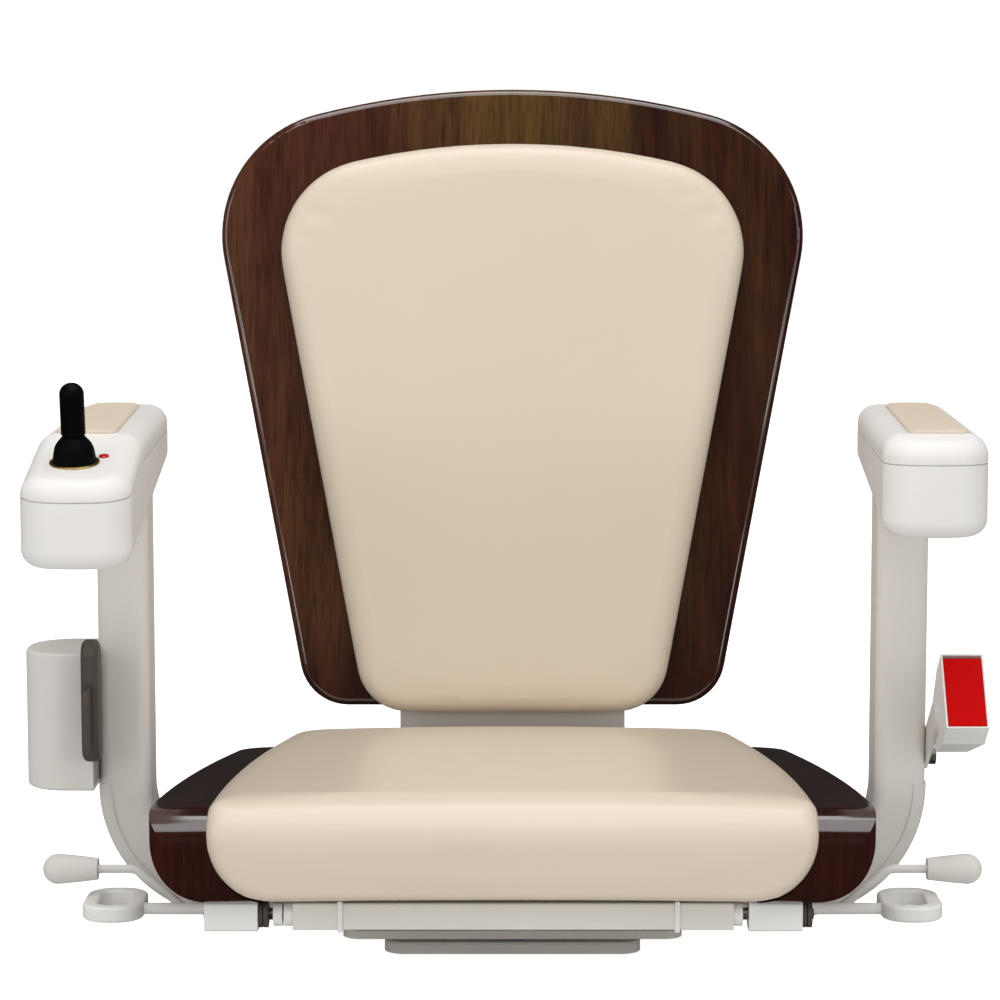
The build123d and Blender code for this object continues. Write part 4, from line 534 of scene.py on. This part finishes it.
def softPiece(spec, points, faces):
    mesh = bpy.data.meshes.new(spec["name"])
    mesh.from_pydata([tuple(point) for point in points], [], faces)
    mesh.update()
    piece = bpy.data.objects.new(spec["name"], mesh)
    scene.collection.objects.link(piece)
    easing = piece.modifiers.new("easing", "SMOOTH")
    easing.factor = 0.5
    easing.iterations = 2
    settle(piece)
    plump(piece, spec)
    finer = piece.modifiers.new("finer", "SUBSURF")
    finer.levels = spec["levels"]
    finer.render_levels = spec["levels"]
    settle(piece)
    for polygon in piece.data.polygons:
        polygon.use_smooth = True
    paint(piece, spec["look"])
    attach(piece, spec["body"])
    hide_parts(spec["node"])
    print("upholstered", spec["name"], len(piece.data.vertices))
    return piece


def gridOver(low, high, step):
    axes = [np.arange(a, b + step, step) for a, b in zip(low, high)]
    return np.meshgrid(*axes, indexing="ij")


# Seat cushion: lies in the seat's trough and rolls over its front edge
seatSpec = {
    "node": "seat_cushion",
    "name": "seatCushion",
    "look": hideLook,
    "body": "seat",
    "step": 0.003,
    "front": -0.2412,
    "rear": 0.148,
    "topFront": 0.1435,
    "topRear": 0.1188,
    "bottom": 0.0722,
    "halfFront": 0.1998,
    "halfWaist": 0.1918,
    "halfRear": 0.1665,
    "straightEnd": -0.190,
    "waist": -0.022,
    "roll": 0.025,
    "edge": 0.011,
    "lowerCorner": 0.0455,
    "rearCorner": 0.030,
    "troughFront": -0.2134,
    "troughTop": 0.1131,
    "troughRear": 0.0955,
    "crown": 0.004,
    "away": (0, -0.3, 1),
    "pressure": 1.5,
    "cap": 0.0015,
    "levels": 1,
    "fill": 0.9,
}


def seatCushionSkin(spec):
    step = spec["step"]
    low = (-0.216, -0.252, 0.063)
    x, y, z = gridOver(low, (0.216, 0.159, 0.153), step)
    side = outline(
        [
            (spec["front"], spec["bottom"], 0.008),
            (spec["front"], spec["topFront"], spec["roll"]),
            (spec["rear"], spec["topRear"], 0.012),
            (spec["rear"], spec["troughRear"], 0.002),
            (spec["troughFront"], spec["troughTop"], 0.010),
            (spec["troughFront"], spec["bottom"], 0.004),
        ]
    )
    arch = spec["crown"] * (x / 0.22) ** 2
    sideField = distanceTo(side, y[0], z[0])
    axisZ = z[0, 0]
    shifted = np.clip((z + arch - axisZ[0]) / step, 0, len(axisZ) - 1.001)
    lower = shifted.astype(int)
    rest = shifted - lower
    row = np.arange(y.shape[1])[None, :, None]
    sideField = sideField[row, lower] * (1 - rest) + sideField[row, lower + 1] * rest
    sides = []
    for share in np.linspace(0, 1, 25):
        # arc through the three half widths, drawn as a parabola in Y
        along = spec["straightEnd"] + (spec["rear"] - spec["straightEnd"]) * share
        knots = (spec["straightEnd"], spec["waist"], spec["rear"])
        widths = (spec["halfFront"], spec["halfWaist"], spec["halfRear"])
        width = 0.0
        for index in range(3):
            weight = widths[index]
            for other in range(3):
                if other != index:
                    weight *= (along - knots[other]) / (knots[index] - knots[other])
            width += weight
        sides.append((width, along))
    right = [(spec["halfFront"], spec["front"] - 0.01, 0)]
    last = spec["rear"] - 1.15 * spec["rearCorner"]
    right += [(width, along, 0) for width, along in sides if along < last]
    right.append((*sides[-1], spec["rearCorner"]))
    left = [(-width, along, radius) for width, along, radius in right[::-1]]
    plan = outline(right + left)
    planField = distanceTo(plan, x[:, :, 0], y[:, :, 0])[:, :, None]
    half = spec["halfFront"]
    corner = spec["lowerCorner"]
    frontView = outline(
        [(-half, spec["bottom"], corner), (half, spec["bottom"], corner), (half, 0.4, 0), (-half, 0.4, 0)]
    )
    frontField = distanceTo(frontView, x[:, 0, :], z[:, 0, :])[:, None, :]
    across = np.maximum(planField, frontField + np.zeros_like(planField))
    field = roundedMeeting(spec["edge"], sideField, across)
    return skinOf(field, low, step)


softPiece(seatSpec, *seatCushionSkin(seatSpec))

# Backrest pad: fullest along its middle, with a soft roll all round
backSpec = {
    "node": "back_pad",
    "name": "backPad",
    "look": hideLook,
    "body": "chair",
    "step": 0.003,
    "origin": (0.0, 0.173, 0.130),
    "recline": 8.0,
    "low": -0.0045,
    "halfLow": 0.1140,
    "halfHigh": 0.1914,
    "corner": 0.4045,
    "crown": 0.4370,
    "lowCorner": 0.039,
    "highCorner": 0.071,
    "middle": 0.0275,
    "sides": 0.0205,
    "edge": 0.013,
    "away": (0, -1, 0.14),
    "pressure": 1.5,
    "cap": 0.0015,
    "levels": 1,
    "fill": 0.9,
}


def backPadSkin(spec):
    step = spec["step"]
    low = (-0.204, -0.018, -0.006)
    u, v, w = gridOver(low, (0.204, 0.450, 0.036), step)
    top = []
    for share in np.linspace(0, 1, 41):
        # the arched top as a parabola between the corners
        across = spec["halfHigh"] * (1 - 2 * share)
        rise = (spec["crown"] - spec["corner"]) * (1 - (across / spec["halfHigh"]) ** 2)
        top.append((across, spec["corner"] + rise, 0))
    corners = [(-spec["halfLow"], spec["low"], spec["lowCorner"]), (spec["halfLow"], spec["low"], spec["lowCorner"])]
    shape = distanceTo(outline(corners + roundTop(top, spec["highCorner"])), u[:, :, 0], v[:, :, 0])
    face = spec["sides"] + (spec["middle"] - spec["sides"]) * (1 - (u / 0.22) ** 2)
    field = roundedMeeting(spec["edge"], shape[:, :, None] + np.zeros_like(w), w - face)
    field = np.maximum(field, 0.0003 - w)
    points, faces = skinOf(field, low, step)
    slope = math.radians(spec["recline"])
    forward = np.array((0, -math.cos(slope), math.sin(slope)))
    upward = np.array((0, math.sin(slope), math.cos(slope)))
    sideways = np.array((1.0, 0, 0))
    world = (
        np.array(spec["origin"])
        + points[:, :1] * sideways
        + points[:, 1:2] * upward
        + points[:, 2:3] * forward
    )
    return world, faces


def roundTop(top, radius):
    # Arched top whose two ends meet the sides in a wide round corner
    steps = len(top)
    keep = [
        point
        for point in top
        if abs(point[0]) < abs(top[0][0]) - radius * 0.92
    ]
    return [(top[0][0], top[0][1], radius)] + keep + [(top[-1][0], top[-1][1], radius)]


softPiece(backSpec, *backPadSkin(backSpec))

# Armrest pads: thin, firm and set into the caps
armSpec = {
    "look": armHideLook,
    "step": 0.0012,
    "frontInner": 0.2588,
    "frontOuter": 0.2992,
    "rearInner": 0.2698,
    "rearOuter": 0.3042,
    "front": -0.1902,
    "rear": 0.0342,
    "base": 0.3718,
    "top": 0.3784,
    "edge": 0.0028,
    "away": (0, 0, 1),
    "pressure": 1.0,
    "cap": 0.0004,
    "levels": 1,
    "fill": 0.9,
}


def armPadSkin(spec, side):
    step = spec["step"]
    low = (0.250, -0.198, 0.3660)
    x, y, z = gridOver(low, (0.313, 0.042, 0.3840), step)
    plan = outline(
        [
            (spec["frontInner"], spec["front"], 0.0065),
            (spec["frontOuter"], spec["front"], 0.0065),
            (spec["rearOuter"], spec["rear"], 0.013),
            (spec["rearInner"], spec["rear"], 0.013),
        ]
    )
    shape = distanceTo(plan, x[:, :, 0], y[:, :, 0])[:, :, None] + np.zeros_like(z)
    field = roundedMeeting(spec["edge"], shape, z - spec["top"])
    field = np.maximum(field, spec["base"] - z)
    points, faces = skinOf(field, low, step)
    if side < 0:
        points[:, 0] *= -1
        faces = [face[::-1] for face in faces]
    return points, faces


for sideName, side in (("left", -1), ("right", 1)):
    spec = dict(armSpec)
    spec["node"] = f"armrest_pad_{sideName}"
    spec["name"] = f"armPad{sideName.capitalize()}"
    spec["body"] = f"armrest_{sideName}"
    softPiece(spec, *armPadSkin(spec, side))

# Springs and the joystick's boot join two bodies; they are copied, split by side, not made to give.
# Each axis points from the end that moves to the end that stays; those ends are found but unused
giveSpecs = [
    {
        "node": "pull_springs",
        "name": "pullSpringLeft",
        "side": -1,
        "bodies": ("chair", "loop_left"),
        "axis": (-1, 0, 0),
        "slot": "spring_steel",
    },
    {
        "node": "pull_springs",
        "name": "pullSpringRight",
        "side": 1,
        "bodies": ("chair", "loop_right"),
        "axis": (1, 0, 0),
        "slot": "spring_steel",
    },
    {
        "node": "latch_spring",
        "name": "latchSpring",
        "side": 0,
        "bodies": ("chair", "latch"),
        "axis": (0, 0, 1),
        "slot": "spring_steel",
    },
    {
        "node": "buckle_spring",
        "name": "buckleSpring",
        "side": 0,
        "bodies": ("chair", "button"),
        "axis": (0, 0.788011, -0.615661),
        "slot": "spring_steel",
    },
    {
        "node": "joystick_boot",
        "name": "stickBoot",
        "side": 0,
        "bodies": ("armrest_left", "joystick"),
        "axis": (0, 0.187522, -0.98226),
        "reach": 0.6,
        "slot": "black_rubber",
    },
]


def givingPiece(spec):
    source = nodes[spec["node"]]
    form = bmesh.new()
    form.from_mesh(source.data)
    form.transform(source.matrix_world)
    other = [vertex for vertex in form.verts if vertex.co.x * spec["side"] < 0]
    bmesh.ops.delete(form, geom=other, context="VERTS")
    mesh = bpy.data.meshes.new(spec["name"])
    form.to_mesh(mesh)
    form.free()
    piece = bpy.data.objects.new(spec["name"], mesh)
    scene.collection.objects.link(piece)
    for polygon in mesh.polygons:
        polygon.use_smooth = True
    paint(piece, looks[spec["slot"]])
    axis = np.array(spec["axis"])
    places = np.array([vertex.co for vertex in mesh.vertices])
    along = places @ axis
    middle = places.mean(axis=0)
    stays = middle + axis * (along.max() - middle @ axis)
    moves = middle + axis * (along.min() - middle @ axis)
    moves = stays + (moves - stays) * spec.get("reach", 1.0)
    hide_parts(spec["node"])
    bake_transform(piece)


for spec in giveSpecs:
    givingPiece(spec)
print("springs and boot done")

# Studio: a pale floor that looks as bright as its surroundings, a broad key light high in
# front, a strip light overhead and weak lights at both sides
def seenByCamera(tree, other, seen):
    # One strength for what the camera sees and another for the light that falls on the chair
    path = tree.nodes.new("ShaderNodeLightPath")
    pick = tree.nodes.new("ShaderNodeMix")
    tree.links.new(path.outputs["Is Camera Ray"], pick.inputs[0])
    if isinstance(other, float):
        pick.inputs[2].default_value = other
    else:
        tree.links.new(other, pick.inputs[2])
    pick.inputs[3].default_value = seen
    return path, pick.outputs[0]


floorData = {"half": 8.0, "depth": -0.0005, "color": (224, 224, 224), "glow": 0.9}
floorMesh = bpy.data.meshes.new("floor")
half = floorData["half"]
depth = floorData["depth"]
floorMesh.from_pydata(
    [(-half, -half, depth), (half, -half, depth), (half, half, depth), (-half, half, depth)],
    [],
    [(0, 1, 2, 3)],
)
floor = bpy.data.objects.new("floor", floorMesh)
scene.collection.objects.link(floor)
floorLook = plainMaterial({"name": "floorPaper", "color": floorData["color"], "rough": 0.9, "shade": 1.0, "shine": 0.0})
floorTree = floorLook.node_tree
floorShader = floorTree.nodes["Principled BSDF"]
floorShader.inputs["Emission Color"].default_value = (1.0, 1.0, 1.0, 1.0)
path, glow = seenByCamera(floorTree, 0.0, floorData["glow"])
floorTree.links.new(glow, floorShader.inputs["Emission Strength"])
floor.visible_glossy = False
paint(floor, floorLook)

surroundings = {"seen": 1.0, "light": 0.50, "mirrored": 0.03}
world = bpy.data.worlds.new("studio")
world.use_nodes = True
worldTree = world.node_tree
background = worldTree.nodes["Background"]
background.inputs["Color"].default_value = (1.0, 1.0, 1.0, 1.0)
mirrored = worldTree.nodes.new("ShaderNodeMix")
mirrored.inputs[2].default_value = surroundings["light"]
mirrored.inputs[3].default_value = surroundings["mirrored"]
path, strength = seenByCamera(worldTree, mirrored.outputs[0], surroundings["seen"])
worldTree.links.new(path.outputs["Is Glossy Ray"], mirrored.inputs[0])
worldTree.links.new(strength, background.inputs["Strength"])
world.cycles.sampling_method = "NONE"
scene.world = world

lights = [
    {"name": "softbox", "place": (0.0, -1.25, 2.3), "aim": (0, -0.1, 0.15), "size": (2.0, 1.9), "power": 25},
    {"name": "overhead", "place": (0.0, -0.05, 2.2), "aim": (0, -0.05, 0.15), "size": (1.8, 0.6), "power": 12},
    {"name": "leftFront", "place": (-1.0, -2.5, 0.65), "aim": (0, 0, 0.25), "size": (0.6, 0.6), "power": 3.5},
    {"name": "rightFront", "place": (1.0, -2.5, 0.65), "aim": (0, 0, 0.25), "size": (0.6, 0.6), "power": 3.5},
    {"name": "leftSide", "place": (-2.1, -2.0, 1.1), "aim": (0, 0, 0.3), "size": (1.3, 1.3), "power": 8},
    {"name": "rightSide", "place": (2.1, -2.0, 1.1), "aim": (0, 0, 0.3), "size": (1.3, 1.3), "power": 6},
]
for spec in lights:
    data = bpy.data.lights.new(spec["name"], "AREA")
    data.shape = "RECTANGLE"
    data.size, data.size_y = spec["size"]
    data.energy = spec["power"]
    lamp = bpy.data.objects.new(spec["name"], data)
    lamp.location = spec["place"]
    direction = Vector(spec["aim"]) - Vector(spec["place"])
    lamp.rotation_euler = direction.to_track_quat("-Z", "Y").to_euler()
    scene.collection.objects.link(lamp)
scene.view_settings.view_transform = "Standard"
print("studio done")
